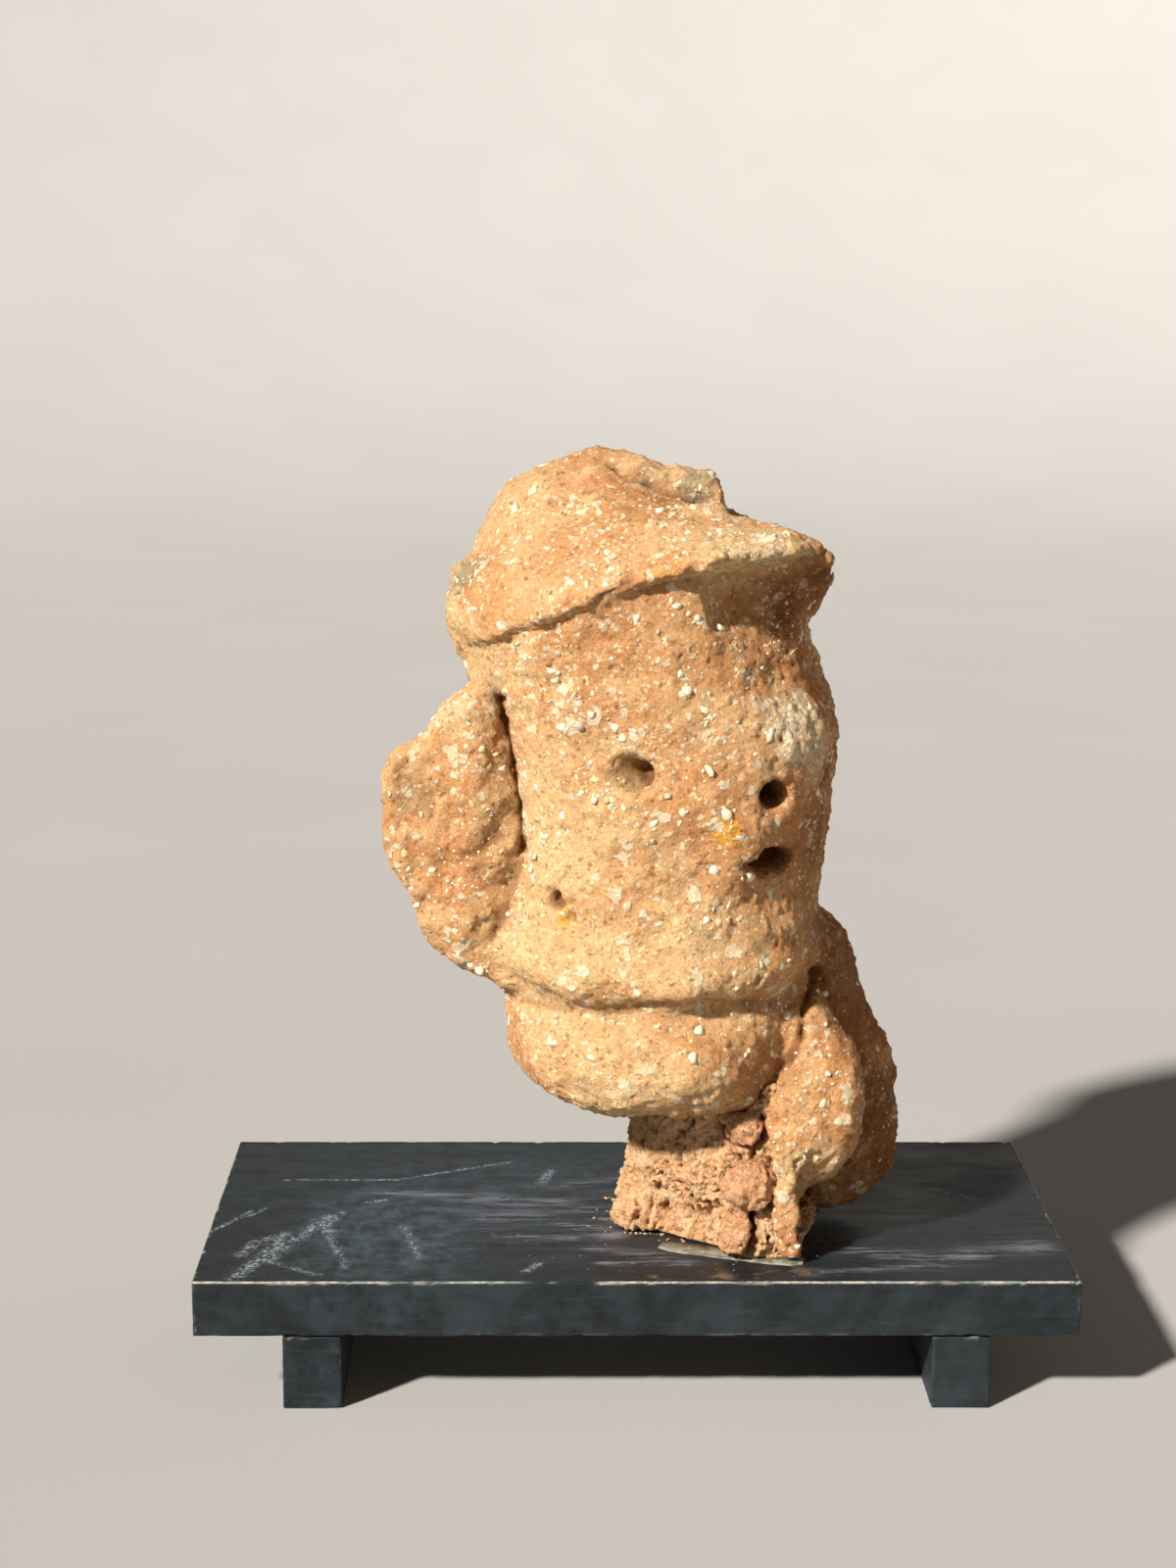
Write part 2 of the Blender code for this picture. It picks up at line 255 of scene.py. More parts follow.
def rock_shapes(count, seed):
    """Small angular stones about 1 across, as corner and face arrays."""
    rng = np.random.default_rng(seed)
    made = []
    for _ in range(count):
        bm = bmesh.new()
        for _ in range(11):
            v = rng.normal(size=3)
            v *= (0.40 + 0.14 * rng.random()) / np.linalg.norm(v)
            bm.verts.new(v * (1.1, 0.90, 0.50))
        hull = bmesh.ops.convex_hull(bm, input=bm.verts)
        bmesh.ops.delete(bm, geom=[g for g in hull["geom_interior"] if isinstance(g, bmesh.types.BMVert)],
                         context="VERTS")
        bmesh.ops.triangulate(bm, faces=bm.faces)
        bm.verts.index_update()
        made.append((np.array([v.co[:] for v in bm.verts]),
                     np.array([[v.index for v in f.verts] for f in bm.faces])))
        bm.free()
    return made


def turn_to(normal, rng):
    """A frame whose third axis is the normal, leaning and turned a little at random."""
    n = normal + rng.normal(size=3) * 0.28
    n /= np.linalg.norm(n)
    side = np.cross(n, rng.normal(size=3))
    side /= np.linalg.norm(side)
    return np.stack((side, np.cross(n, side), n))


def stones(name, spots, normals, sizes, tints, sink, rocks, seed):
    """Angular stones sunk in a surface by a share of their size."""
    rng = np.random.default_rng(seed)
    corners, faces = [], []
    for place, normal, size in zip(spots, normals, sizes):
        shape, tri = rocks[rng.integers(len(rocks))]
        basis = turn_to(normal, rng)
        corners.append(place - normal * size * sink + (shape * size) @ basis)
        faces.append(tri)
    return joined(corners, faces, tints, name)


def scattered(mesh, weight, count, seed):
    """Random places on a mesh, more of them where the weight is high, and the way out of the surface."""
    rng = np.random.default_rng(seed)
    co, n, tri = places(mesh), outward(mesh), triangles(mesh)
    a, b, c = (co[tri[:, k]] for k in range(3))
    area = np.linalg.norm(np.cross(b - a, c - a), axis=1) * weight[tri].mean(1)
    pick = np.searchsorted(np.cumsum(area), rng.random(count) * area.sum())
    pick = np.minimum(pick, len(tri) - 1)
    u, v = rng.random(count), rng.random(count)
    over = u + v > 1
    u[over], v[over] = 1 - u[over], 1 - v[over]
    spot = a[pick] + (b - a)[pick] * u[:, None] + (c - a)[pick] * v[:, None]
    way = n[tri[pick]].mean(1)
    return spot, way / np.linalg.norm(way, axis=1)[:, None]


# Materials

class Nodes:
    """Short words for building a material."""

    def __init__(self, name):
        self.material = bpy.data.materials.new(name)
        self.material.use_nodes = True
        self.tree = self.material.node_tree
        self.tree.nodes.clear()
        out = self.new("ShaderNodeOutputMaterial")
        self.shader = self.new("ShaderNodeBsdfPrincipled")
        self.feed(out.inputs["Surface"], self.shader.outputs["BSDF"])
        self.place = self.new("ShaderNodeTexCoord").outputs["Object"]

    def feed(self, socket, value):
        """Links a socket to another one, or sets its value. A colour may leave out its alpha."""
        if isinstance(value, bpy.types.NodeSocket):
            self.tree.links.new(value, socket)
        elif isinstance(value, tuple) and len(value) < len(socket.default_value):
            socket.default_value = (*value, 1.0)
        else:
            socket.default_value = value

    def new(self, kind, inputs=None, **settings):
        node = self.tree.nodes.new(kind)
        for key, value in settings.items():
            setattr(node, key, value)
        for key, value in (inputs or {}).items():
            self.feed(node.inputs[key], value)
        return node

    def stretched(self, x, y, z):
        return self.new("ShaderNodeMapping", {"Vector": self.place, "Scale": (x, y, z)}).outputs["Vector"]

    def noise(self, size_mm, detail=3.0, roughness=0.55, vector=None):
        return self.new("ShaderNodeTexNoise", {"Vector": vector or self.place, "Scale": 1 / MM / size_mm,
                                               "Detail": detail, "Roughness": roughness}).outputs["Fac"]

    def cells(self, size_mm, output="Distance", vector=None, feature="F1"):
        return self.new("ShaderNodeTexVoronoi", {"Vector": vector or self.place, "Scale": 1 / MM / size_mm},
                        feature=feature).outputs[output]

    def warped(self, size_mm, amount_mm):
        """Places pushed about by noise, which gives cells ragged edges."""
        noise = self.new("ShaderNodeTexNoise", {"Vector": self.place, "Scale": 1 / MM / size_mm, "Detail": 3.0})
        return self.new("ShaderNodeVectorMath", {0: noise.outputs["Color"], 1: (amount_mm * MM,) * 3,
                                                 2: self.place}, operation="MULTIPLY_ADD").outputs[0]

    def tones(self, size_mm, vector=None):
        """Three unrelated numbers for each cell."""
        node = self.new("ShaderNodeSeparateColor", {"Color": self.cells(size_mm, "Color", vector)})
        return [node.outputs[name] for name in ("Red", "Green", "Blue")]

    def attribute(self, name):
        return self.new("ShaderNodeAttribute", attribute_name=name).outputs["Fac"]

    def band(self, value, low, high, to_low=0.0, to_high=1.0):
        """A soft step: to_low below low, to_high above high."""
        inputs = {"Value": value, "From Min": low, "From Max": high, "To Min": to_low, "To Max": to_high}
        return self.new("ShaderNodeMapRange", inputs, interpolation_type="SMOOTHSTEP").outputs["Result"]

    def math(self, operation, a, b):
        return self.new("ShaderNodeMath", {0: a, 1: b}, operation=operation).outputs[0]

    def times(self, a, b):
        return self.math("MULTIPLY", a, b)

    def mix(self, share, a, b, blend="MIX"):
        # A mix node's inputs 6 and 7 are its two colours, and output 2 is the mixed one
        return self.new("ShaderNodeMix", {0: share, 6: a, 7: b}, data_type="RGBA", blend_type=blend).outputs[2]

    def layer(self, share, colour):
        """Lays a colour over the colour so far."""
        self.colour = self.mix(share, self.colour, colour)

    def shade(self, share, by):
        """Darkens the colour so far by multiplying it."""
        self.layer(share, self.mix(1.0, self.colour, by, "MULTIPLY"))

    def ramp(self, value, *stops):
        node = self.new("ShaderNodeValToRGB", {"Fac": value})
        ramp = node.color_ramp
        while len(ramp.elements) < len(stops):
            ramp.elements.new(0.5)
        for element, (at, colour) in zip(ramp.elements, stops):
            element.position, element.color = at, (*colour, 1.0)
        return node.outputs["Color"]

    def bump(self, height, depth_mm, strength=1.0, before=None):
        inputs = {"Strength": strength, "Distance": depth_mm * MM, "Height": height}
        if before is not None:
            inputs["Normal"] = before
        return self.new("ShaderNodeBump", inputs).outputs["Normal"]

    def finish(self, roughness, normal, specular=0.3):
        self.feed(self.shader.inputs["Base Color"], self.colour)
        self.feed(self.shader.inputs["Roughness"], roughness)
        self.feed(self.shader.inputs["Specular IOR Level"], specular)
        if normal is not None:
            self.feed(self.shader.inputs["Normal"], normal)
        return self.material


def clay_material():
    m = Nodes("gritty fired clay")
    middling = m.noise(7, 4.0, 0.6)
    m.colour = m.ramp(m.noise(26, 3.0, 0.6), (0.30, (0.66, 0.300, 0.115)), (0.48, (0.78, 0.415, 0.175)),
                    (0.62, (0.84, 0.510, 0.245)), (0.78, (0.78, 0.420, 0.180)))
    m.layer(m.band(middling, 0.50, 0.72), (0.87, 0.585, 0.305))
    # Deep orange tone, partly painted shade on the shaded side and the flap, and a painted orange glow under
    # the brim
    m.layer(m.times(m.attribute("rust"), m.band(middling, 0.25, 0.7, 1.0, 0.6)), (0.66, 0.30, 0.115))
    # Ochre tone, laid on the lit left side and fronts as painted light
    m.layer(m.times(m.attribute("ochre"), m.band(middling, 0.25, 0.65, 0.45, 0.9)), (0.90, 0.625, 0.310))
    # Painted shade: the shaded side of the face and arm and the hollow under the brim are darkened
    m.layer(m.attribute("brown"), (0.32, 0.120, 0.034))
    pale = m.attribute("pale")
    m.layer(m.times(pale, m.band(m.noise(2.2, 3.0), 0.35, 0.62, 0.1, 0.75)), (0.80, 0.68, 0.44))
    m.layer(m.times(m.attribute("grey"), m.band(m.noise(3.0, 3.0), 0.3, 0.6, 0.4, 0.95)), (0.36, 0.33, 0.22))
    # Yellow stains, and a painted orange glow under the brim's lip
    m.layer(m.attribute("yellow"), (0.92, 0.47, 0.05))

    # The sand in the clay: every grain is a little lighter or darker, and some are dark
    sand = m.warped(0.9, 0.7)
    lighter, _, darkest = m.tones(1.2, sand)
    m.shade(m.band(lighter, 0.0, 1.0, 0.0, 0.40), (0.62, 0.50, 0.40))
    m.layer(m.band(darkest, 0.965, 0.975, 0.0, 0.45), (0.22, 0.085, 0.035))
    fine = m.noise(0.55, 2.0, 0.7)
    m.layer(m.band(fine, 0.25, 0.45, 0.35, 0.0), (0.84, 0.60, 0.34))
    crumbs = m.noise(2.2, 8.0, 0.72)
    # Painted shade in the low places of the crumbly relief that the bump below draws
    m.shade(m.band(crumbs, 0.31, 0.46, 0.9, 0.0), (0.46, 0.31, 0.19))

    # Cream flakes of broken grit pressed level with the surface, ragged and in flocks
    flock = m.band(m.noise(17, 3.0, 0.6), 0.35, 0.68, -0.06, 0.035)
    flock = m.math("ADD", flock, m.times(pale, 0.35))
    # Flakes are kept off the painted shade and the dirt
    clear_of_dirt_and_shade = m.times(m.band(m.attribute("brown"), 0.2, 0.9, 1.0, 0.3),
                    m.band(m.attribute("dirt"), 0.15, 0.6, 1.0, 0.1))
    flakes = None
    for size, common, ragged in ((5.2, 0.92, m.warped(2.2, 3.0)), (2.6, 0.90, m.warped(1.3, 1.6)),
                                 (1.25, 0.90, sand)):
        _, chosen, tone = m.tones(size, ragged)
        inner = m.band(m.cells(size, "Distance", ragged, "DISTANCE_TO_EDGE"), 0.05, 0.13)
        flake = m.times(inner, m.band(m.math("ADD", chosen, flock), common, common + 0.02))
        flake = m.times(flake, clear_of_dirt_and_shade)
        cream = m.mix(tone, (0.93, 0.83, 0.60), (0.84, 0.67, 0.43))
        m.layer(m.times(flake, 0.88), cream)
        flakes = flake if flakes is None else m.math("MAXIMUM", flakes, m.times(flake, size / 5.2))
    m.shade(m.band(fine, 0.55, 0.75, 0.0, 0.5), (0.55, 0.43, 0.34))
    # Dirt and painted shade in hollows, grooves and pits
    m.shade(m.attribute("dirt"), (0.20, 0.11, 0.055))

    coarse = m.bump(m.band(m.cells(1.2, "Distance", sand), 0.05, 0.75, 1.0, 0.0), 0.35, 0.8)
    rough = m.bump(crumbs, 2.1, 0.9, coarse)
    close = m.bump(m.noise(0.9, 4.0, 0.75), 0.6, 1.0, rough)
    return m.finish(m.band(fine, 0.3, 0.7, 0.82, 0.97), m.bump(flakes, 0.45, 0.9, close), 0.2)


def grit_material():
    m = Nodes("cream grit")
    tint = m.attribute("tint")
    m.colour = m.ramp(tint, (0.0, (0.91, 0.83, 0.61)), (0.45, (0.87, 0.73, 0.49)), (0.70, (0.74, 0.50, 0.27)),
                    (0.86, (0.58, 0.52, 0.38)), (0.95, (0.40, 0.18, 0.07)))
    speck = m.noise(0.6, 3.0, 0.7)
    m.shade(m.band(speck, 0.5, 0.72, 0.0, 0.6), (0.66, 0.55, 0.43))
    return m.finish(m.band(speck, 0.3, 0.7, 0.8, 0.97),
                    m.bump(m.noise(1.1, 6.0, 0.75), 0.9, 0.9), 0.2)


def mortar_material():
    m = Nodes("crumbling clay mortar")
    slow, fast = m.noise(14, 3.0, 0.6), m.noise(3.2, 4.0, 0.65)
    m.colour = m.ramp(slow, (0.30, (0.78, 0.40, 0.185)), (0.50, (0.88, 0.53, 0.27)), (0.68, (0.91, 0.62, 0.36)))
    m.layer(m.band(fast, 0.5, 0.75, 0.0, 0.8), (0.76, 0.50, 0.29))
    m.layer(m.attribute("red"), (0.74, 0.37, 0.19))
    m.shade(m.band(m.noise(0.9, 3.0, 0.7), 0.52, 0.74, 0.0, 0.6), (0.50, 0.38, 0.32))
    _, chosen, _ = m.tones(1.1)
    m.layer(m.band(chosen, 0.88, 0.92, 0.0, 0.6), (0.74, 0.58, 0.38))
    # Dirt and painted shade in hollows and in the seams round the clods
    m.shade(m.attribute("dirt"), (0.22, 0.13, 0.09))
    crumbs = m.noise(2.0, 8.0, 0.75, m.stretched(1.0, 1.0, 0.75))
    # Painted shade in the low places of the crumbly relief
    m.shade(m.band(crumbs, 0.30, 0.42, 0.5, 0.0), (0.36, 0.22, 0.16))
    ragged = m.warped(1.3, 1.9)
    gaps = m.cells(2.5, "Distance", ragged, "DISTANCE_TO_EDGE")
    parted = m.band(m.noise(6.0, 3.0, 0.6), 0.40, 0.58)
    # Painted shade in the cracks between crumbs, which the bump below cuts in
    m.shade(m.times(m.band(gaps, 0.01, 0.07, 0.45, 0.0), parted), (0.30, 0.19, 0.14))
    first = m.bump(crumbs, 2.6, 0.9, m.bump(m.times(m.band(gaps, 0.0, 0.22), parted), 0.6, 0.8))
    second = m.bump(m.cells(0.9, "Distance", m.warped(0.9, 0.6)), 0.35, 0.8, first)
    return m.finish(0.95, second, 0.15)


def paint_material():
    """Black paint on wood: streaked along the stand, scuffed blue-grey, with a bluish haze and painted
    reflection, and bare chips on the edges.
    """
    m = Nodes("scuffed black paint")
    along = m.stretched(0.10, 1.0, 1.0)
    streak = m.noise(2.4, 5.0, 0.65, along)
    cloud = m.noise(38, 4.0, 0.6)
    m.colour = m.mix(m.band(cloud, 0.35, 0.7), (0.0045, 0.0060, 0.0070), (0.0125, 0.0175, 0.0205))
    m.layer(m.times(m.band(streak, 0.5, 0.72), 0.4), (0.024, 0.029, 0.033))
    drawn = m.math("MAXIMUM", m.band(m.noise(3.4, 6.0, 0.75, along), 0.46, 0.62),
                   m.band(m.noise(2.0, 5.0, 0.75, m.stretched(0.5, 1.0, 1.0)), 0.56, 0.68))
    smear = m.times(m.attribute("smear"), drawn)
    m.layer(m.times(smear, 0.85), (0.25, 0.245, 0.29))
    # A bluish haze, partly painted reflection: strongest on the left of the top, lighter on the front and sides
    haze = m.times(m.attribute("haze"), m.band(m.noise(9, 5.0, 0.7), 0.3, 0.75))
    m.layer(m.times(haze, 0.6), (0.075, 0.118, 0.155))
    specks = m.band(m.cells(4.3, "Distance", m.warped(1.5, 3.0)), 0.05, 0.10, 1.0, 0.0)
    dust = m.times(specks, m.attribute("dust"))
    m.layer(m.times(dust, 0.6), (0.50, 0.42, 0.33))
    broken = m.band(m.noise(1.5, 5.0, 0.8), 0.46, 0.60)
    m.layer(m.times(m.attribute("scratch"), broken), (0.30, 0.36, 0.40))
    bare = m.mix(m.band(m.noise(2.0, 3.0), 0.4, 0.6), (0.62, 0.57, 0.46), (0.30, 0.34, 0.33))
    m.layer(m.attribute("chip"), bare)
    m.layer(m.attribute("clay"), (0.42, 0.26, 0.15))
    rough = m.band(cloud, 0.3, 0.75, 0.42, 0.58)
    rough = m.math("ADD", rough, m.times(smear, 0.25))
    rough = m.math("ADD", rough, m.times(m.band(streak, 0.35, 0.8), 0.12))
    brushed = m.bump(streak, 0.12, 0.6)
    ripple = m.bump(m.noise(16, 3.0, 0.5), 0.25, 0.5, brushed)
    return m.finish(rough, m.bump(m.noise(0.7, 3.0, 0.6), 0.05, 0.5, ripple), 0.32)


def glue_material():
    m = Nodes("grey glue")
    m.colour = m.mix(m.band(m.noise(3.0, 3.0), 0.35, 0.65), (0.12, 0.118, 0.085), (0.28, 0.27, 0.21))
    return m.finish(0.6, m.bump(m.noise(1.2, 3.0), 0.3, 0.6), 0.4)


# The fired clay

# How fine the head's mesh is, in metres, and how many passes even out the CAD solid's flat faces
HEAD_VOXEL = 0.00131
SMOOTHING = 7

# A punched pit moves only what lies this near to its middle along its way in
PIT_REACH = 16
# The pits: middle, the way in, half width, half height and how much deeper they go than the solid's
PITS = (
    ((-17, -50, 172), (0.30, 0.95, 0.0), 8.4, 8.0, 2.0),
    ((-14.2, -50, 171.5), (0.62, 0.78, 0.0), 4.8, 5.6, 6.5),
    ((26.8, -42, 164.5), (-0.40, 0.90, 0.05), 6.6, 6.0, 8.0),
    ((27.4, -38, 141), (-0.45, 0.88, 0.05), 10.2, 4.9, 12.0),
    ((19.5, -43, 141.2), (-0.2, 0.95, 0.0), 4.2, 2.6, 4.0),
    ((50, -18, 162), (-0.85, 0.50, 0.0), 6.5, 6.0, 4.5),
    ((-43, -44, 127), (0.60, 0.80, 0.0), 3.6, 4.2, 5.0),
    ((-38, -47, 122), (0.55, 0.83, 0.0), 3.6, 2.8, 3.2),
)

# Lines cut or worn into the clay: their course, half width and depth
GROOVES = (
    (((-55, -28, 139), (-57, -26, 127), (-61, -26, 117), (-65, -26, 108)), 1.9, 1.5),
    (((-59, -15, 87), (-50, -32, 88), (-37, -45, 90), (-24, -50, 90), (-15, -53, 92), (-6, -58, 95),
       (5, -55, 96), (21, -45, 93), (32, -37, 90), (40, -35, 90), (47, -15, 93)), 2.0, 1.3),
    (((47, -16, 96), (42, -35, 87), (41, -38, 78), (37, -38, 69), (34, -35, 63), (29, -36, 58)), 1.5, 4.4),
    (((-27, -3, 272), (-19, -9, 268), (-9, -11, 264), (2, -15, 260), (12, -17, 256)), 2.0, 5.6),
    (((-4, -8, 269), (-3, -13, 263)), 2.0, 1.6),
    (((-99, -28, 164), (-95, -29, 169), (-88, -30, 173)), 1.5, 2.6),
    (((-11, -60, 66), (-10, -58, 61), (-9, -55, 57)), 0.9, 2.0),
    (((-42, -44, 163), (-37, -48, 157), (-28, -54, 154), (-17, -57, 154), (-8, -58, 158)), 3.4, 0.8),
    (((50, -22, 84), (66, -16, 52), (59, -18, 28), (50, -15, 19)), 3.0, 1.3),
    (((-30, -60, 229), (-25, -60, 233), (-20, -61, 237)), 2.2, 2.0),
    (((-92, -29, 158), (-84, -30, 154), (-78, -30, 150)), 4.6, 2.4),
    (((-90, -28, 135), (-80, -28, 137), (-70, -31, 141), (-61, -29, 147)), 2.6, 2.0),
)

# The deep gap between the flap and the cheek, and which way it is cut in
GAP_WAY, GAP_DEPTH = (0.25, 0.97, 0), 8.0
GAP = ((-62, -26, 193), (-59, -25, 178), (-57, -25, 165), (-55, -27, 152), (-54, -28, 141))

# Tints, some of them painted light or shade: the middle of each patch, its reach and its strength
PATCHES = {
    # Ochre tone, laid on the lit left side and fronts as painted light
    "ochre": (
        ((-44, -46, 148), 34, 0.9), ((-45, -40, 105), 34, 0.9), ((0, -60, 104), 30, 0.7),
        ((-20, -55, 72), 30, 0.7), ((20, -56, 246), 24, 0.85), ((-74, -20, 210), 20, 0.9),
        ((39, -46, 33), 11, 1.0), ((-80, -20, 190), 16, 0.8), ((-24, -52, 176), 12, 0.6),
        ((-48, -40, 200), 18, 0.5), ((55, -25, 30), 20, 0.5), ((-30, -30, 270), 18, 0.4)),
    # Deep orange tone, partly painted shade on the shaded side and the flap, and a painted orange glow under
    # the brim
    "rust": (
        ((2, -56, 165), 22, 0.45), ((42, -32, 150), 24, 0.85), ((48, -26, 205), 22, 0.8),
        ((40, -45, 6), 13, 1.0), ((-40, -46, 125), 8, 0.7), ((-12, -60, 228), 16, 0.5),
        ((-76, -30, 145), 24, 0.45), ((-72, -28, 172), 12, 0.3), ((-30, -46, 246), 22, 0.45),
        ((-2, -56, 216), 22, 0.35), ((22, -50, 150), 22, 0.55), ((-30, -54, 178), 12, 0.4),
        ((24, -48, 118), 20, 0.4), ((22, -46, 66), 16, 0.6), ((-12, -62, 234), 12, 0.7),
        ((60, -20, 60), 22, 0.4), ((-44, -42, 88), 18, 0.3), ((-15, -25, 262), 16, 0.4)),
    # Painted shade, on the shaded side of the face and arm and under the brim
    "brown": (
        ((74, 4, 40), 46, 0.95), ((42, -28, 226), 25, 1.0), ((63, 0, 90), 40, 0.85),
        ((54, -14, 140), 16, 0.5), ((50, -26, 150), 20, 0.7), ((54, -10, 172), 22, 0.6),
        ((44, -30, 208), 14, 0.6), ((46, -26, 118), 14, 0.5), ((36, -44, 34), 5, 0.5),
        ((-66, -30, 160), 12, 0.25), ((56, -4, 190), 20, 0.45), ((72, -6, 12), 18, 0.6),
        ((30, -42, 64), 12, 0.45), ((-70, -32, 148), 12, 0.25), ((-5, -20, 262), 8, 0.5),
        ((-82, -24, 212), 6, 0.4)),
    "pale": (
        ((38, -43, 187), 13, 0.95), ((42, -38, 178), 9, 0.7), ((-36, -48, 190), 8, 0.5),
        ((24, -49, 192), 7, 0.5), ((12, -56, 60), 10, 0.35), ((-80, -20, 186), 9, 0.5),
        ((58, -24, 56), 12, 0.5), ((25, -60, 250), 12, 0.6), ((-36, -52, 246), 8, 0.6)),
    "grey": (
        ((-76, -17, 232), 10, 0.95), ((-71, -22, 238), 8, 0.7), ((4, -12, 264), 9, 0.9),
        ((-12, -10, 268), 7, 0.5), ((58, -28, 62), 8, 0.6), ((22, -52, 210), 5, 0.6),
        ((36, -47, 195), 8, 0.5), ((-62, -26, 196), 6, 0.5), ((-92, -22, 158), 9, 0.4)),
    # Yellow stains, and a painted orange glow under the brim's lip
    "yellow": (
        ((-38, -46, 122), 5, 0.8), ((13, -58, 154), 5.0, 1.0), ((-8, -61, 236), 7, 0.35),
        ((18, -57, 238), 7, 0.35)),
}

# Edges that stand proud: their course, half width, and how far they are drawn out and which way
RIDGES = (
    (((-72, -27, 212), (-61, -41, 217), (-50, -52, 223), (-37, -58, 229),
       (-27, -61, 233)), 2.6, 1.6, (0, -0.6, -0.6)),
    (((-20, -62, 238), (-4, -63, 239), (11, -57, 240), (29, -54, 244),
       (38, -50, 246)), 2.4, 2.0, (0.1, -0.7, -0.5)),
    (((-78, -16, 236), (-80, -14, 230), (-77, -17, 222)), 5.0, 1.6, (-1.0, 0, 0.1)),
    (((41, -44, 246), (49, -32, 238), (50, -22, 231)), 3.0, 1.6, (0.9, -0.2, 0.1)),
    (((2, -9, 266), (8, -9, 265), (11, -10, 260)), 4.2, 2.6, (0.5, -0.5, 0.6)),
    (((-62, -36, 55), (-45, -47, 53), (-18, -51, 48), (1, -51, 47),
       (20, -44, 52)), 2.6, 1.3, (0, -0.9, -0.3)),
    (((-64, -27, 192), (-62, -28, 178), (-61, -28, 165), (-59, -29, 152)), 2.0, 1.2, (0, -1, 0)),
    (((-59, -18, 95), (-40, -44, 99), (-15, -56, 100), (8, -60, 101), (26, -48, 99),
       (42, -34, 98)), 4.5, 0.7, (0, 0, 0)),
    (((-97, -27, 171), (-91, -29, 176), (-85, -29, 180)), 2.4, 1.6, (-0.3, -0.8, 0.3)),
    (((-72, -30, 176), (-80, -28, 168)), 5.0, 1.4, (0, -1, 0)),
    (((-64, -29, 237), (-53, -30, 243), (-40, -33, 248), (-32, -27, 254),
       (-22, -21, 260)), 6.5, 1.9, (0, -0.6, 0.8)),
    (((-93, -28, 146), (-84, -29, 143), (-74, -30, 147)), 3.5, 1.4, (0, 0, 0)),
    (((-84, -29, 168), (-76, -30, 160), (-70, -30, 150)), 4.5, 1.3, (0, 0, 0)),
    (((3, -60, 187), (20, -54, 186), (36, -44, 184)), 7.0, 1.1, (0, 0, 0)),
)

# Where the clay is cut back under an edge: the edge's course, the way in, the depth, and how far down it goes
UNDERCUTS = (
    (((8, -58, 239.5), (20, -55, 242), (29, -53, 244), (38, -49, 245.5), (47, -36, 241)),
       (-0.5, 0.86, 0), 7.5, 26),
    (((40, -46, 243), (48, -30, 236), (50, -18, 230)), (-1, 0.1, 0), 3.0, 26),
    (((-74, -24, 211), (-61, -40, 216), (-50, -51, 222), (-37, -57, 228), (-24, -61, 235),
       (-4, -62, 238.5), (12, -57, 240)), (0.3, 0.95, 0), 2.6, 5),
    (((-60, -34, 55), (-45, -46, 53), (-18, -50, 47), (1, -50, 46), (25, -40, 54)), (0, 1, 0), 3.0, 6),
)

# The forehead runs up to the brim: the brim's course, and the forehead's front at its own height below
BRIM_X = (-62, -50, -37, -24, -4, 11, 24)
BRIM_Z = (216, 222, 228, 235, 238.5, 240, 242.5)
BRIM_Y = (-40, -51, -57, -60, -61, -56, -53)
BROW_Z = 203
BROW_Y = (-34, -44, -50, -53.5, -55.5, -52, -47)
# How far behind the brim it starts, and how far from that front the clay still counts as forehead
BEHIND_BRIM, BROW_REACH = 3.0, 16


def filled(points, normals):
    """Brings the forehead forward to just behind the brim."""
    x, y, z = points.T
    front = ease(-normals[:, 1], -0.3, 0.3) * ease(x, -64, -52) * (1 - ease(x, 6, 22))
    top = np.interp(x, BRIM_X, BRIM_Z)
    share = np.clip((top - z) / (top - BROW_Z), 0, 1)
    ahead = (np.interp(x, BRIM_X, BRIM_Y) + BEHIND_BRIM) * (1 - share) \
        + np.interp(x, BRIM_X, BROW_Y) * share
    inside = (z < top + 0.5) & (z > BROW_Z) & (np.abs(y - ahead) < BROW_REACH)
    move = np.minimum(ahead - y, 0) * front * inside
    return points + np.stack((move * 0, move, move * 0), 1)


def undercut(points, normals):
    """Cuts back what lies just under an overhanging edge."""
    front = ease(-normals[:, 1], -0.2, 0.4)
    for path, way, depth, reach in UNDERCUTS:
        along, ahead, level = np.array(sorted(path), float).T
        x, y, z = points.T
        down = np.interp(x, along, level) - z + 0.5 * swell(points, 4.0, 59)
        ends = ease(x, along[0] - 4, along[0] + 6) * (1 - ease(x, along[-1] - 3, along[-1] + 7))
        share = ease(down, 0.2, 2.6) * (1 - ease(down, reach * 0.45, reach)) * ends * front
        share *= 1 - ease(y - np.interp(x, along, ahead), 14, 24)
        points = points + np.array(way, float) * (share * depth)[:, None]
    return points


def raised(points, normals):
    """Draws the proud edges out."""
    for path, half, height, way in RIDGES:
        near = beside(points, path, half) * (0.8 + 0.4 * swell(points, 6.0, 67))
        push = np.array(way, float) if any(way) else normals
        points = points + push * (near * height)[:, None]
    return points


def punched(points, normals):
    """Deepens the pits and roughens their edges. Also gives how deep inside a pit each point is."""
    inside = np.zeros(len(points))
    for middle, way, wide, high, deeper in PITS:
        way = np.array(way) / np.linalg.norm(way)
        across = np.cross(way, (0, 0, 1.0))
        across /= np.linalg.norm(across)
        rise = np.cross(across, way)
        d = points - middle
        reach = np.hypot(d @ across / wide, d @ rise / high) + 0.10 * swell(points, 2.6, 71)
        near = np.abs(d @ way) < PIT_REACH
        hole = np.where(near, 1 - ease(reach, 0.66, 1.04), 0)
        points = points + way * (hole * deeper)[:, None]
        inside = np.maximum(inside, hole * min(1.0, 0.25 + deeper / 9))
    return points, inside


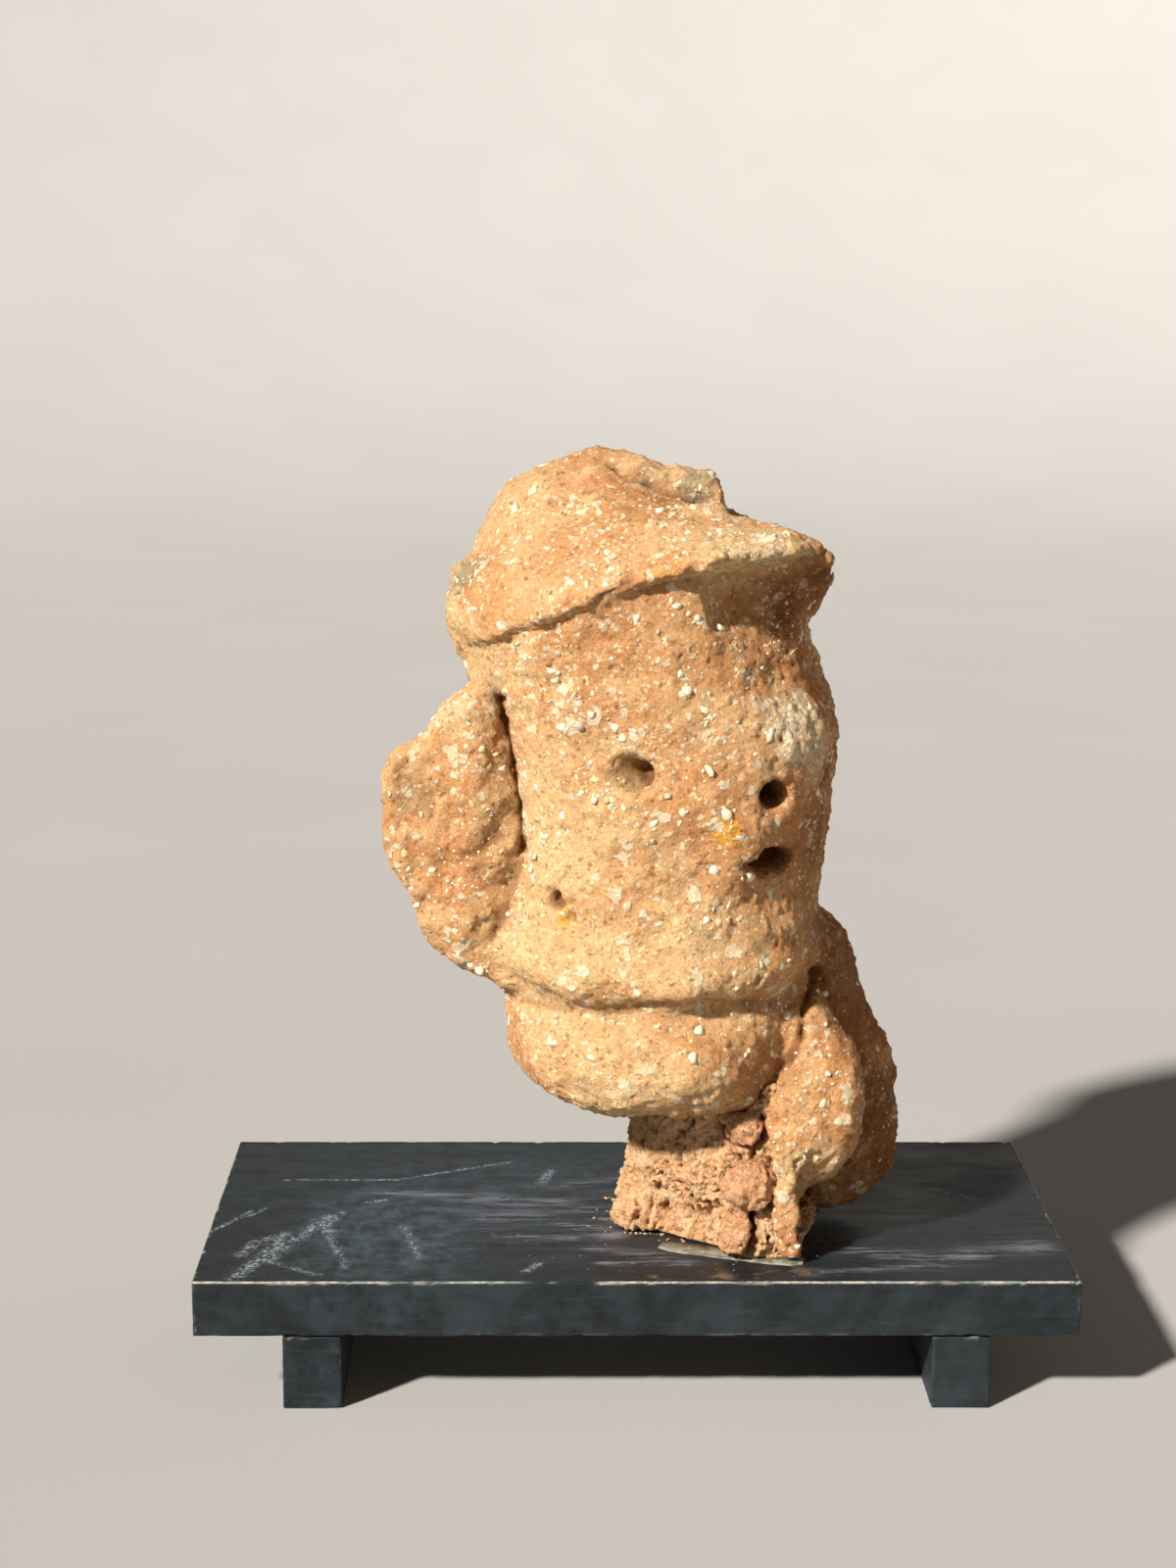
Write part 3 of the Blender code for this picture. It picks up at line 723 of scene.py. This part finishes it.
# Broken, crumbly places: their middle, reach and how much rougher they are
RUGGED = (
    ((39, -45, 30), 11, 1.8), ((38, -45, 12), 10, 1.8), ((36, -44, 188), 11, 0.9), ((6, -11, 263), 9, 1.4),
    ((44, -40, 242), 8, 1.2), ((-20, -52, 48), 11, 1.3), ((-48, -46, 53), 11, 1.4),
    ((10, -50, 50), 11, 1.5), ((25, -46, 56), 9, 1.3), ((-32, -50, 50), 9, 1.3), ((-76, -18, 228), 10, 0.9),
    ((62, 0, 8), 14, 1.2), ((-40, -45, 126), 7, 1.3), ((-94, -26, 172), 8, 1.2), ((-66, -32, 118), 9, 0.8),
    ((-70, -30, 100), 9, 0.8), ((-80, -28, 128), 15, 0.8), ((-78, -28, 160), 16, 0.5),
    ((50, -18, 160), 7, 1.6), ((30, -50, 186), 9, 1.0), ((42, -38, 180), 8, 1.0), ((-20, -58, 238), 7, 1.0),
    ((55, -22, 20), 12, 0.8),
)


# How far the arm's inner edge reaches across the mortar, by height
ACROSS_Z = (4, 12, 20, 28, 41, 53, 62, 72)
ACROSS_X = (0, 1.5, 3, 4, 6.5, 9, 5, 0)


# The strip's middle from above, its straight end, its flat front, and the height from which it is drawn down
STRIP_X, STRIP_Y, STRIP_END, STRIP_FRONT, STRIP_TOP = 41, -43, 42.8, -46.3, 28
# How much of the way down it is drawn, how far the arm's edge sags, and how low the clay may come
DRAWN_DOWN, SAG, LOWEST = 0.85, 9.0, 2.5


def hanging(points):
    """The broken strip beside the mortar: narrow, flat-faced and ragged, with a straight edge."""
    x, y, z = points.T
    near = (1 - ease(np.hypot(x - STRIP_X, y - STRIP_Y), 9, 13)) * (1 - ease(z, 30, 42))
    end = STRIP_END + 0.7 * swell(points, 3.0, 63)
    front = STRIP_FRONT + 0.8 * swell(points, 4.5, 65)
    down = np.clip(STRIP_TOP - z, 0, None) * DRAWN_DOWN * near
    across = np.interp(z, ACROSS_Z, ACROSS_X) * (1 - ease(x, 42, 58))
    across *= ease(x, 30, 38) * (1 - ease(y, -38, -26))
    # The arm's lower edge slopes down into the strip
    sag = ease(x, 38, 43) * (1 - ease(x, 45, 64)) * ease(z, 12, 22) * (1 - ease(z, 28, 50)) \
        * (1 - ease(y, -38, -24))
    return np.stack((x - np.clip(x - end, 0, None) * near - across,
                     y + np.clip(front - y, 0, None) * near - 0.25 * across,
                     np.maximum(z - down - SAG * sag, LOWEST)), 1)


# How far the far cheek is drawn in, by height
CHEEK_Z = (140, 150, 170, 190, 205, 214, 222, 232, 240)
CHEEK_IN = (0, 0.5, 1.5, 2.2, 3.8, 4.6, 3.6, 1.5, 0)


def trimmed(points):
    """Draws the far cheek in, and cuts the knob's far side down steeply."""
    x, y, z = points.T
    cheek = ease(x, 34, 52) * np.interp(z, CHEEK_Z, CHEEK_IN)
    cliff = ease(x, 12.8, 15.2) * (1 - ease(x, 17, 36)) * ease(z, 246, 254) \
        * ease(y, -34, -22) * (1 - ease(y, 8, 22))
    return points - np.stack((cheek, cheek * 0, cliff * 4.5), 1)


def gap_share(points):
    """How near each point of the front is to the middle of the gap beside the flap."""
    half = 1.7 + 0.4 * swell(points, 4.0, 85)
    return beside(points * (1, 0, 1), np.array(GAP) * (1, 0, 1), half) * (1 - ease(points[:, 1], -18, -12))


def head_shape():
    """The head's mesh with its tints, and for each point how hollow it is and how deep inside a pit."""
    mesh = fine_copy("terracotta_head", HEAD_VOXEL)
    web = Web(mesh)
    p = trimmed(hanging(web.even(places(mesh), SMOOTHING)))
    put(mesh, p)
    n = web.soft(outward(mesh), 2)
    p = undercut(web.soft(filled(raised(p, n), n), 1), n)
    p = punched(p, n)[0]
    p = p + np.array(GAP_WAY) * (gap_share(p) * GAP_DEPTH)[:, None]
    put(mesh, p)
    # The cuts have drawn some faces out long, so the shape is laid out in even ones again
    mesh = remeshed(mesh, HEAD_VOXEL)
    web = Web(mesh)
    p = web.even(places(mesh), 2)
    put(mesh, p)
    n = web.soft(outward(mesh), 2)
    inside = punched(p, n)[1]
    n /= np.linalg.norm(n, axis=1)[:, None]

    # How much each place stands out of its surroundings, in mm: edges are above 0, hollows below
    broad = web.soft(p, 26, 0.6)
    stands = ((p - broad) * n).sum(1)
    edge, hollow = ease(stands, 0.25, 1.3), ease(-stands, 0.25, 1.5)

    cut = np.zeros(len(p))
    crease_dirt_and_shade = np.zeros(len(p))
    wander, uneven = 1 + 0.35 * swell(p, 3.0, 83), 0.8 + 0.3 * swell(p, 5.0, 91)
    for path, half, depth in GROOVES:
        near = beside(p, path, half * wander)
        cut += near * depth * uneven
        # Only the narrow, deep ones are darkened, as dirt and painted shade
        if depth > 1.2 and half < 4:
            crease_dirt_and_shade = np.maximum(crease_dirt_and_shade, near ** 2 * min(1.0, depth / 2.6))

    # The relief, in mm: slow swells, lumps, grains, pores, bits and lost grains, then worn edges
    low = crags(p, 19, 3, 2) * 0.75
    lumps = crags(p, 7.5, 11, 3) * 0.75
    bent = jostled(p, 1.1, 2.3, 24)
    sand, own = grains(bent, 3.6, 23)
    bumps = bead(sand, 0.62) * (own > 0.45) * 1.4
    tiny, own_tiny = grains(bent, 2.0, 37)
    pocks = -ease(0.40 - tiny, 0.0, 0.22) * (own_tiny > 0.94) * 0.8
    bits = bead(tiny, 0.55) * (own_tiny < 0.45) * 1.25
    holes, own_hole = grains(jostled(p, 1.4, 2.4, 54), 6.5, 53)
    lost = -ease(0.26 - holes, 0.0, 0.2) * (own_hole > 0.90) * 1.1
    broken = -edge * np.maximum(crags(p, 5.0, 61, 3), -0.2) * 1.5
    calm = 1 - 0.75 * inside
    rugged = np.zeros(len(p))
    for middle, reach, more in RUGGED:
        rugged = np.maximum(rugged, np.exp(-(np.linalg.norm(p - middle, axis=1) / reach) ** 2) * more)
    torn = rugged * (crags(p, (4.2, 4.2, 6.0), 171, 3) * 1.3 - 0.3)
    move = (low + (lumps + bumps + pocks + bits + lost + broken) + torn) * calm - cut
    # The gap beside the flap is darkened too, as painted shade
    crease_dirt_and_shade = np.maximum(crease_dirt_and_shade, gap_share(p) ** 2)
    p = p + n * move[:, None]
    put(mesh, p)

    # Dirt and painted shade: hollows, grooves, the flap's gap, pits and pocks are darkened
    dirt = np.clip(0.55 * hollow * (0.6 + 0.5 * swell(p, 4.0, 101)) + crease_dirt_and_shade * 0.95 + inside * 0.55
                   + ease(-(pocks + lost), 0.3, 1.0) * 0.4, 0, 1)
    mark(mesh, "dirt", dirt)
    for name, patches in PATCHES.items():
        tint = np.zeros(len(p))
        for middle, reach, strength in patches:
            d = np.linalg.norm(p - middle, axis=1) / reach + 0.35 * crags(p, min(12.0, reach * 0.6), 131, 3)
            full = 0.25 if name == "brown" else 0.55
            tint = np.maximum(tint, (1 - ease(d, full, 1.15)) * strength)
        mark(mesh, name, tint)
    return mesh, hollow, inside


# The largest grains, where each one sits
LARGEST = (
    (-2, -55, 205), (0, -55, 200), (7, -54, 193), (9, -46, 217), (21, -47, 203), (-30, -52, 207),
    (-38, -49, 201), (-43, -46, 202), (-17, -50, 216), (-17, -46, 224), (10, -43, 227), (42, -36, 191),
    (28, -50, 184), (-26, -51, 242), (-39, -52, 235), (-38, -22, 257), (-19, -40, 252), (-57, -13, 255),
    (-53, -44, 218), (-1, -57, 159), (13, -57, 159), (9, -54, 139), (7, -57, 173), (21, -51, 137),
    (-30, -53, 163), (39, -32, 133), (5, -54, 85), (23, -49, 77), (31, -40, 73), (36, -36, 85),
    (3, -59, 78), (-45, -41, 78), (-76, -26, 131), (-69, -25, 98), (49, -44, 57), (45, -47, 37),
    (32, -47, 250), (28, -35, 252),
)


# How many grains there are, how many of them are large, and how many lie together round a largest one
GRAINS, LARGE, TOGETHER = 3000, 820, 4


def add_head(clay, grit, rocks):
    mesh, hollow, inside = head_shape()
    piece("bust_clay", mesh, "fired_clay", clay, "terracotta_head")
    p, n = places(mesh), outward(mesh)
    # More grains in flocks, and few in hollows, in pits, underneath and on the arm's far side
    crowd = np.clip(0.35 + 1.1 * crags(p, 24, 151, 3), 0.03, None) ** 1.4
    crowd *= (1 - 0.85 * hollow) * (1 - inside) * ease(n[:, 2], -0.5, -0.1)
    crowd *= 1 - 0.8 * ease(p[:, 0], 46, 60)
    spots, ways = scattered(mesh, crowd, GRAINS, 5)
    rng = np.random.default_rng(6)
    large = np.arange(GRAINS) < LARGE
    sizes = np.where(large, 2.2 + 3.0 * rng.random(GRAINS) ** 2.0, 1.0 + rng.random(GRAINS))
    tints = np.where(large, rng.random(GRAINS) ** 2.2, rng.random(GRAINS) ** 1.1) * 0.97
    for i in range(TOGETHER * len(LARGEST)):
        spot, lesser = LARGEST[i // TOGETHER], i % TOGETHER > 0
        near = np.argmin(np.linalg.norm(p - spot - (rng.normal(size=3) * 2.6 if lesser else 0), axis=1))
        spots[i], ways[i] = p[near], n[near]
        sizes[i] = 1.5 + 1.2 * rng.random() if lesser else 4.8 + 1.8 * rng.random()
        tints[i] = 0.3 * rng.random()
    piece("bust_grit", stones("grit", spots, ways, sizes, tints, 0.11, rocks, 7), "fired_clay", grit)


# The mortar bed

# How fine its mesh is, in metres, how many grains it has, and how many crumbs have fallen on the board
MORTAR_VOXEL = 0.00062
MORTAR_GRAINS, FALLEN = 500, 150
MORTAR_MIDDLE = (28, -20)
# Lumps pressed into the mortar: middle and reach along each axis
CLODS = (((24, -44, 28), (10.5, 9, 8.0)), ((16, -45, 10.5), (9.0, 9, 9.0)), ((19, -42, 47), (9.5, 9, 6.5)))


def add_mortar(mortar, rocks):
    mesh = fine_copy("clay_mortar_bed", MORTAR_VOXEL)
    web = Web(mesh)
    p = web.soft(places(mesh), 8, 0.5)
    # Its right end is straight, beside the hanging strip, and its front comes forward below the chest
    end = 40.6 + 0.7 * swell(p, 5.0, 239) + 0.3 * np.clip(p[:, 1] + 34, 0, None)
    p[:, 0] = np.minimum(p[:, 0], end) + 2.2 * ease(p[:, 2], 12, 30) * (1 - ease(p[:, 0], -16, -6))
    ahead = ease(-outward(mesh)[:, 1], 0.1, 0.6) * ease(p[:, 2], 8, 26) * (1 - ease(p[:, 0], 22, 36))
    p[:, 1] -= 3.4 * ahead
    put(mesh, p)
    n = web.soft(outward(mesh), 2)
    n /= np.linalg.norm(n, axis=1)[:, None]
    lift = ease(p[:, 2], 0.4, 2.0)

    # The relief, in mm: streaks, knobs, large and small holes, and bits
    bent = p + 1.3 * np.stack([crags(p, 3.2, k, 2) for k in (241, 243, 245)], 1)
    streaks = crags(p, (4.0, 4.0, 8.0), 203, 4, 0.7) * 1.5
    lumps, own = grains(bent, 4.6, 211)
    knobs = bead(lumps, 0.6) * (own > 0.5) * 2.4
    holes, own_hole = grains(bent * (1, 1, 0.8), 4.0, 223)
    voids = -ease(0.44 - holes, 0.0, 0.25) * (own_hole > 0.55) * 3.2
    small, own_small = grains(bent + 7.0, 2.6, 271)
    voids = voids - ease(0.40 - small, 0.0, 0.2) * (own_small > 0.72) * 1.8
    tiny, own_tiny = grains(bent, 2.1, 227)
    bits = bead(tiny, 0.55) * np.where(own_tiny > 0.45, 1.0, -1.5) * 1.8
    # Each clod is a redder dome with a deep seam round it, deepest below
    red, rim, dome = np.zeros((3, len(p)))
    for middle, reach in CLODS:
        d = np.linalg.norm((p - middle) / reach, axis=1) + 0.16 * crags(p, 5.0, 229, 2)
        red = np.maximum(red, 1 - ease(d, 0.90, 1.12))
        dome = np.maximum(dome, np.sqrt(np.clip(1 - d * d, 0, 1)))
        below = ease((middle[2] - p[:, 2]) / reach[2] + 0.5 * (p[:, 0] - middle[0]) / reach[0], -0.5, 0.5)
        rim = np.maximum(rim, np.exp(-((d - 1.12) / 0.15) ** 2) * (0.3 + 0.7 * below))
    front = ease(-n[:, 1], -0.2, 0.4)
    # The foot is uneven, and spreads at the left
    foot = ease(9 - p[:, 2], 0, 9) * crags(p, (7, 7, 20), 251, 2) * 1.6 \
        + 2.2 * ease(16 - p[:, 2], 0, 16) * (1 - ease(p[:, 0], -16, -4))
    move = (streaks + knobs * (1 - 0.5 * red) + voids * (1 - 0.8 * red) + bits + foot) * lift \
        + (dome * 4.0 - rim * 4.2 + red * crags(p, 4.4, 261, 3, 0.6) * 0.8) * front * lift
    p = p + n * move[:, None]
    p[:, 2] = np.maximum(p[:, 2], 0.3)
    put(mesh, p)
    stands = ((p - web.soft(p, 16)) * n).sum(1)
    # Hollows and the seams round the clods are darkened, as dirt and painted shade
    mark(mesh, "dirt", ease(-stands, 0.4, 1.7) * 0.6 + rim * 0.9 * front)
    mark(mesh, "red", red * 0.8 * front + 0.5 * ease(crags(p, 13, 233, 2), 0.1, 0.8))
    piece("mortar_bed", mesh, "clay_mortar", mortar, "clay_mortar_bed")

    # Grains in the mortar, and crumbs lying on the board round its foot
    spots, ways = scattered(mesh, lift, MORTAR_GRAINS, 15)
    rng = np.random.default_rng(16)
    sizes = 0.9 + 1.9 * rng.random(MORTAR_GRAINS) ** 2
    tints = 0.35 + 0.6 * rng.random(MORTAR_GRAINS)
    low = spots[spots[:, 2] < 5]
    fallen = low[rng.integers(len(low), size=FALLEN)]
    away = fallen[:, :2] - MORTAR_MIDDLE
    away /= np.linalg.norm(away, axis=1)[:, None]
    fallen_sizes = 0.6 + 1.5 * rng.random(FALLEN) ** 2.5
    fallen[:, :2] += away * (1.0 + 9.0 * rng.random(FALLEN) ** 2)[:, None]
    fallen[:, 2] = fallen_sizes * 0.22
    spots, ways = np.concatenate((spots, fallen)), np.concatenate((ways, np.tile((0, 0, 1.0), (FALLEN, 1))))
    sizes = np.concatenate((sizes, fallen_sizes))
    tints = np.concatenate((tints, 0.4 + 0.55 * rng.random(FALLEN)))
    crumbs = stones("mortar grains", spots, ways, sizes, tints, 0.1, rocks, 17)
    for name in ("red", "dirt"):
        mark(crumbs, name, np.zeros(len(crumbs.vertices)))
    piece("mortar_grains", crumbs, "clay_mortar", mortar)


# The glue squeezed out along the mortar's foot: its course, in mm from the board's middle
GLUE = ((8.0, -42.5), (17.5, -46.0), (30.7, -51.0), (47.1, -56.8), (57.0, -58.6))
# Its section: how far out, where 1 is the bead's edge and below 0 is mm under the mortar, and how high in mm
GLUE_SECTION = ((-6.0, 0.75), (-1.0, 0.6), (0.0, 0.5), (0.5, 0.38), (0.8, 0.15), (1.0, -0.4), (0.1, -0.6),
                (-6.0, -0.6))


def add_glue():
    """A closed strip whose section runs from under the mortar over the glue's bead and back along the board."""
    path = np.array(GLUE)
    along = np.linspace(0, len(path) - 1, 140)
    mid = np.stack([np.interp(along, range(len(path)), path[:, k]) for k in (0, 1)], 1)
    way = np.gradient(mid, axis=0)
    way /= np.linalg.norm(way, axis=1)[:, None]
    out = np.stack((way[:, 1], -way[:, 0]), 1)
    wander = crags(np.stack((along * 6, along * 0, along * 0), 1), 9.0, 401, 4)
    ends = ease(along, 0, 0.5) * (1 - ease(along, along[-1] - 0.4, along[-1]))
    corners = []
    for reach, height in GLUE_SECTION:
        far = reach * (1.4 + 1.2 * wander) * ends if reach > 0 else reach
        flat = mid + out * np.reshape(far, (-1, 1))
        uneven = 0.8 + 0.3 * swell(np.stack((along * 5, along * 0 + reach, along * 0), 1), 3.0, 403)
        z = BOARD_TOP / MM + height * uneven
        corners.append(np.stack((flat[:, 0], flat[:, 1], z), 1) - FIGURE / MM)
    n = len(along)
    tri = []
    for r in range(len(GLUE_SECTION)):
        for k in range(n - 1):
            a, b = r * n + k, (r + 1) % len(GLUE_SECTION) * n + k
            tri += [(a, b, b + 1), (a, b + 1, a + 1)]
    for r in range(1, len(GLUE_SECTION) - 1):
        tri += [(0, (r + 1) * n, r * n), (n - 1, r * n + n - 1, (r + 1) * n + n - 1)]
    mesh = joined([np.concatenate(corners)], [np.array(tri)], np.array([0.5]), "glue")
    mesh.polygons.foreach_set("use_smooth", [True] * len(mesh.polygons))
    piece("glue_line", mesh, "clay_mortar", glue_material())


# The stand

# Near an edge, the board and its feet are cut finely
FINE, RIM = 0.45, 5.0


def steps(low, high, coarse):
    """Places from low to high, close together near both ends."""
    half = (high - low) / 2
    rim = min(RIM, half)
    inner = np.linspace(rim, half, max(2, int((half - rim) / coarse) + 2))
    side = np.concatenate((np.arange(0, rim, FINE), inner))
    return np.unique(np.round(np.concatenate((low + side, high - side)), 6))


def block(low, high, coarse, round_edge):
    """A box in small faces, and where its points go on worn round edges, all in mm."""
    axes = [steps(*ends) for ends in zip(low, high, coarse)]
    last = [len(a) - 1 for a in axes]
    bm = bmesh.new()
    made = {}

    def corner(*at):
        if at not in made:
            made[at] = bm.verts.new([axis[k] for axis, k in zip(axes, at)])
        return made[at]

    for a, b, across in ((0, 1, 2), (0, 2, 1), (1, 2, 0)):
        for i in range(last[a]):
            for j in range(last[b]):
                for level in (0, last[across]):
                    ring = [[i, j], [i, j + 1], [i + 1, j + 1], [i + 1, j]]
                    # Turned round where it would face in
                    if (level > 0) != (across == 1):
                        ring = ring[:1] + ring[:0:-1]
                    bm.faces.new([corner(*at[:across], level, *at[across:]) for at in ring])
    mesh = bpy.data.meshes.new("block")
    bm.to_mesh(mesh)
    bm.free()
    co = read(mesh.vertices, "co", 3)
    # Each point is pulled onto a box with round edges, whose rounding wanders along the edge
    r = round_edge * (1.0 + 0.45 * crags(co, 9.0, 301, 3))[:, None]
    core = np.clip(co, low + r, high - r)
    out = co - core
    length = np.linalg.norm(out, axis=1)[:, None]
    return mesh, np.where(length > 1e-6, core + out / np.maximum(length, 1e-6) * np.minimum(length, r), co)


# Scratches on the board's top, in mm from its middle: a course and half width
SCRATCHES = (
    (((-136, -71), (-129, -52), (-123, -29)), 2.4), (((-136, -49), (-132, -36), (-124, -29)), 1.8),
    (((-127, -46), (-118, -33), (-109, -9)), 2.0), (((-133, -61), (-125, -52), (-119, -33)), 1.8),
    (((-128, -54), (-108, -68)), 0.9), (((-113, -14), (-107, -26)), 1.6), (((-110, -21), (-104, -6)), 1.2),
    (((-110, -21), (-99, -61)), 1.0), (((-137, -9), (-133, -2)), 0.9), (((-82, -19), (-74, -52)), 0.9),
    (((-38, -65), (-33, -57)), 1.2), (((-33, 26), (-30, 40)), 1.6),
    (((-129, 30), (-86, 30), (-44, 51)), 0.7), (((-149, -26), (-142, -13), (-137, -4)), 0.8),
    (((-97, 5), (-89, 8)), 1.0), (((112, 20), (126, 8)), 0.8), (((66, 44), (92, 52)), 0.8),
    (((-59, 8), (-43, 10)), 0.9),
)
# Pale smears there: a course, half width and strength
SMEARS = (
    (((-97, 17), (-70, 12), (-41, 8)), 3.4, 1.0), (((-48, -29), (-22, -33)), 3.0, 1.0),
    (((-55, 8), (-31, 5), (-3, -13)), 7.0, 0.8), (((-55, -11), (-31, -13), (-8, -29)), 6.0, 0.8),
    (((-22, 23), (-1, 34)), 5.0, 0.6), (((-15, -42), (17, -55)), 4.5, 0.6),
    (((-12, -57), (17, -58)), 2.2, 1.0), (((78, -46), (105, -55), (140, -40)), 7.0, 0.7),
    (((62, -66), (96, -60)), 3.0, 0.6),
)


# Where clay has rubbed off in front of the mortar
CLAY_ON_BOARD = ((8, -68, 0), (30, -70, 0), (56, -66, 0))
# Piece, node and how large the faces are away from the edges, in mm
STAND = (("board", "stand_board", (1.5, 1.3, 2.0)), ("foot_left", "left_foot", (3.0, 2.0, 2.0)),
         ("foot_right", "right_foot", (3.0, 2.0, 2.0)))


def traced(flat, course, half):
    """How near each point is to a line drawn on the board's top."""
    return beside(flat, [(*place, 0) for place in course], half)


def add_stand(paint):
    for name, node, coarse in STAND:
        low, high = (np.array(corner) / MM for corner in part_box(node))
        mesh, co = block(low, high, coarse, 0.75)
        # Nicks go into the edges, and the level faces are a little wavy
        wavy = crags(co * (0.25, 1.0, 1.0), 9.0, 311, 3) * 0.10
        into = np.clip(co, low + 1.2, high - 1.2) - co
        worn = np.linalg.norm(into, axis=1)
        at_edge = ((np.abs(co - low) < 1.0).sum(1) + (np.abs(co - high) < 1.0).sum(1) >= 2)
        nick = ease(crags(co, 4.2, 317, 3), 0.42, 0.8) * at_edge
        co = co + into * (nick * 0.45 + np.where(worn > 0, 0.03, 0))[:, None]
        middle = (low + high) / 2
        face = np.sign(co - middle) * (np.abs(co - middle) > (high - low) / 2 - 0.2)
        co = co - face * (0.12 + wavy * 0.8)[:, None] * (1 - at_edge)[:, None] * (0, 0, 1)
        if node == "stand_board":
            co[:, 2] = np.maximum(co[:, 2], low[2])
        # Paint is chipped off in the nicks and along the edges, most of all on top
        chips = ease(crags(co * (0.6, 1, 1), 3.4, 331, 4), 0.42, 0.60) * at_edge * 0.45 + 0.6 * nick
        chips *= 0.25 + 0.75 * (co[:, 2] > high[2] - 1.2)
        if node == "stand_board":
            # The front top edge is rubbed bare
            off = np.maximum(co[:, 1] - low[1], high[2] - co[:, 2])
            line = (1 - ease(off, 0.25, 0.75)) * ease(crags(co * (0.3, 1, 1), 8.0, 337, 4), -0.7, 0.2)
            chips = np.maximum(chips * 0.6, line * 0.8)
        else:
            chips *= 0.15
        mesh.vertices.foreach_set("co", (co * MM).ravel())
        mesh.polygons.foreach_set("use_smooth", [True] * len(mesh.polygons))
        mesh.update()

        # The marks on the top, and the bluish haze and painted reflection that the sides have too
        flat = co * (1, 1, 0)
        on_top = (co[:, 2] > BOARD_TOP / MM - 0.6)
        smear = 0.30 * blot(flat, (-30, -5, 0), (40, 38, 1))
        for course, half, strength in SMEARS:
            smear = np.maximum(smear, traced(flat, course, half) * strength)
        haze = 0.9 * blot(flat, (-88, -30, 0), (30, 42, 1), 4) + 0.45 * blot(flat, (-50, 20, 0), (70, 50, 1)) \
            + 0.10 + 0.25 * (~on_top)
        scratch = np.zeros(len(co))
        for course, half in SCRATCHES:
            scratch = np.maximum(scratch, traced(flat, course, half))
        clay = 0.3 * beside(flat, CLAY_ON_BOARD, 5.0) * ease(crags(co, 5.0, 351, 4), -0.1, 0.5)
        mark(mesh, "chip", chips)
        mark(mesh, "haze", haze * (on_top + 0.5 * (~on_top)))
        for layer, values in (("smear", smear), ("dust", 0.15 + blot(flat, (10, -45, 0), (60, 35, 1))),
                              ("scratch", scratch), ("clay", clay)):
            mark(mesh, layer, values * on_top)
        piece(name, mesh, "black_painted_wood", paint, node)


# Light, floor and camera

def add_room():
    scene = bpy.context.scene
    scene.view_settings.view_transform = "Standard"
    scene.view_settings.look = "None"
    world = bpy.data.worlds.new("pale room")
    world.use_nodes = True
    world.node_tree.nodes["Background"].inputs["Color"].default_value = (0.90, 0.88, 0.86, 1)
    world.node_tree.nodes["Background"].inputs["Strength"].default_value = 0.07
    scene.world = world

    def area(name, place, aim, size, watts, colour):
        lamp = bpy.data.lights.new(name, "AREA")
        lamp.shape, lamp.size, lamp.energy, lamp.color = "DISK", size, watts, colour
        obj = bpy.data.objects.new(name, lamp)
        scene.collection.objects.link(obj)
        obj.location = place
        obj.rotation_euler = (Vector(aim) - Vector(place)).to_track_quat("-Z", "Y").to_euler()

    head = (0.0, -0.02, 0.20)
    sun = bpy.data.lights.new("key light", "SUN")
    sun.energy, sun.angle, sun.color = 7.4, math.radians(4), (1.0, 0.95, 0.885)
    key = bpy.data.objects.new("key light", sun)
    scene.collection.objects.link(key)
    key.rotation_euler = Vector((0.58, 0.58, -0.57)).to_track_quat("-Z", "Y").to_euler()
    area("fill light", (1.1, -0.9, 0.7), head, 1.2, 1.5, (1.0, 0.68, 0.38))

    # The floor turns up into a backdrop all round, well away from the bust
    floor = bpy.data.meshes.new("floor")
    spokes, flat_to, bend = 96, 2.6, 2.4
    turns = [k * math.pi / 16 for k in range(8)]
    profile = [(flat_to + bend * math.sin(turn), bend - bend * math.cos(turn)) for turn in turns]
    verts = [(0.0, 0.0, 0.0)] + [(r * math.cos(k * math.tau / spokes), r * math.sin(k * math.tau / spokes), z)
                                 for r, z in profile for k in range(spokes)]
    faces = [(0, 1 + k, 1 + (k + 1) % spokes) for k in range(spokes)]
    for ring in range(len(profile) - 1):
        a, b = 1 + ring * spokes, 1 + (ring + 1) * spokes
        faces += [(a + k, b + k, b + (k + 1) % spokes, a + (k + 1) % spokes) for k in range(spokes)]
    floor.from_pydata(verts, [], faces)
    floor.polygons.foreach_set("use_smooth", [True] * len(faces))
    m = Nodes("pale floor")
    cloud = m.noise(220, 2.0, 0.5)
    m.colour = m.mix(m.band(cloud, 0.3, 0.7), (0.40, 0.392, 0.38), (0.41, 0.402, 0.39))
    m.finish(0.8, None, 0.15)
    floor.materials.append(m.material)
    ground = bpy.data.objects.new("floor", floor)
    scene.collection.objects.link(ground)
    ground.visible_shadow = False


def add_camera():
    """The photograph's camera, found from the stand's corners: a long lens about a metre away."""
    lens = bpy.data.cameras.new("camera")
    lens.sensor_fit, lens.sensor_width, lens.lens = "AUTO", 36.0, 2900 / 1600 * 36.0
    lens.clip_start, lens.clip_end = 0.05, 50
    turn, tip, roll = (math.radians(a) for a in (0.665, 11.05, 0.227))
    ahead = Vector((math.sin(turn) * math.cos(tip), math.cos(turn) * math.cos(tip), -math.sin(tip)))
    right = Vector((math.cos(turn), -math.sin(turn), 0))
    up = right.cross(ahead)
    x = right * math.cos(roll) + up * math.sin(roll)
    y = up * math.cos(roll) - right * math.sin(roll)
    camera = bpy.data.objects.new("camera", lens)
    bpy.context.scene.collection.objects.link(camera)
    place = Matrix((x, y, -ahead)).transposed().to_4x4()
    place.translation = (-0.0279, -0.9811, 0.3934)
    camera.matrix_world = place
    bpy.context.scene.camera = camera


add_camera()
add_room()
stones_kit = rock_shapes(16, 2)
add_head(clay_material(), grit_material(), stones_kit)
add_mortar(mortar_material(), stones_kit)
add_glue()
add_stand(paint_material())
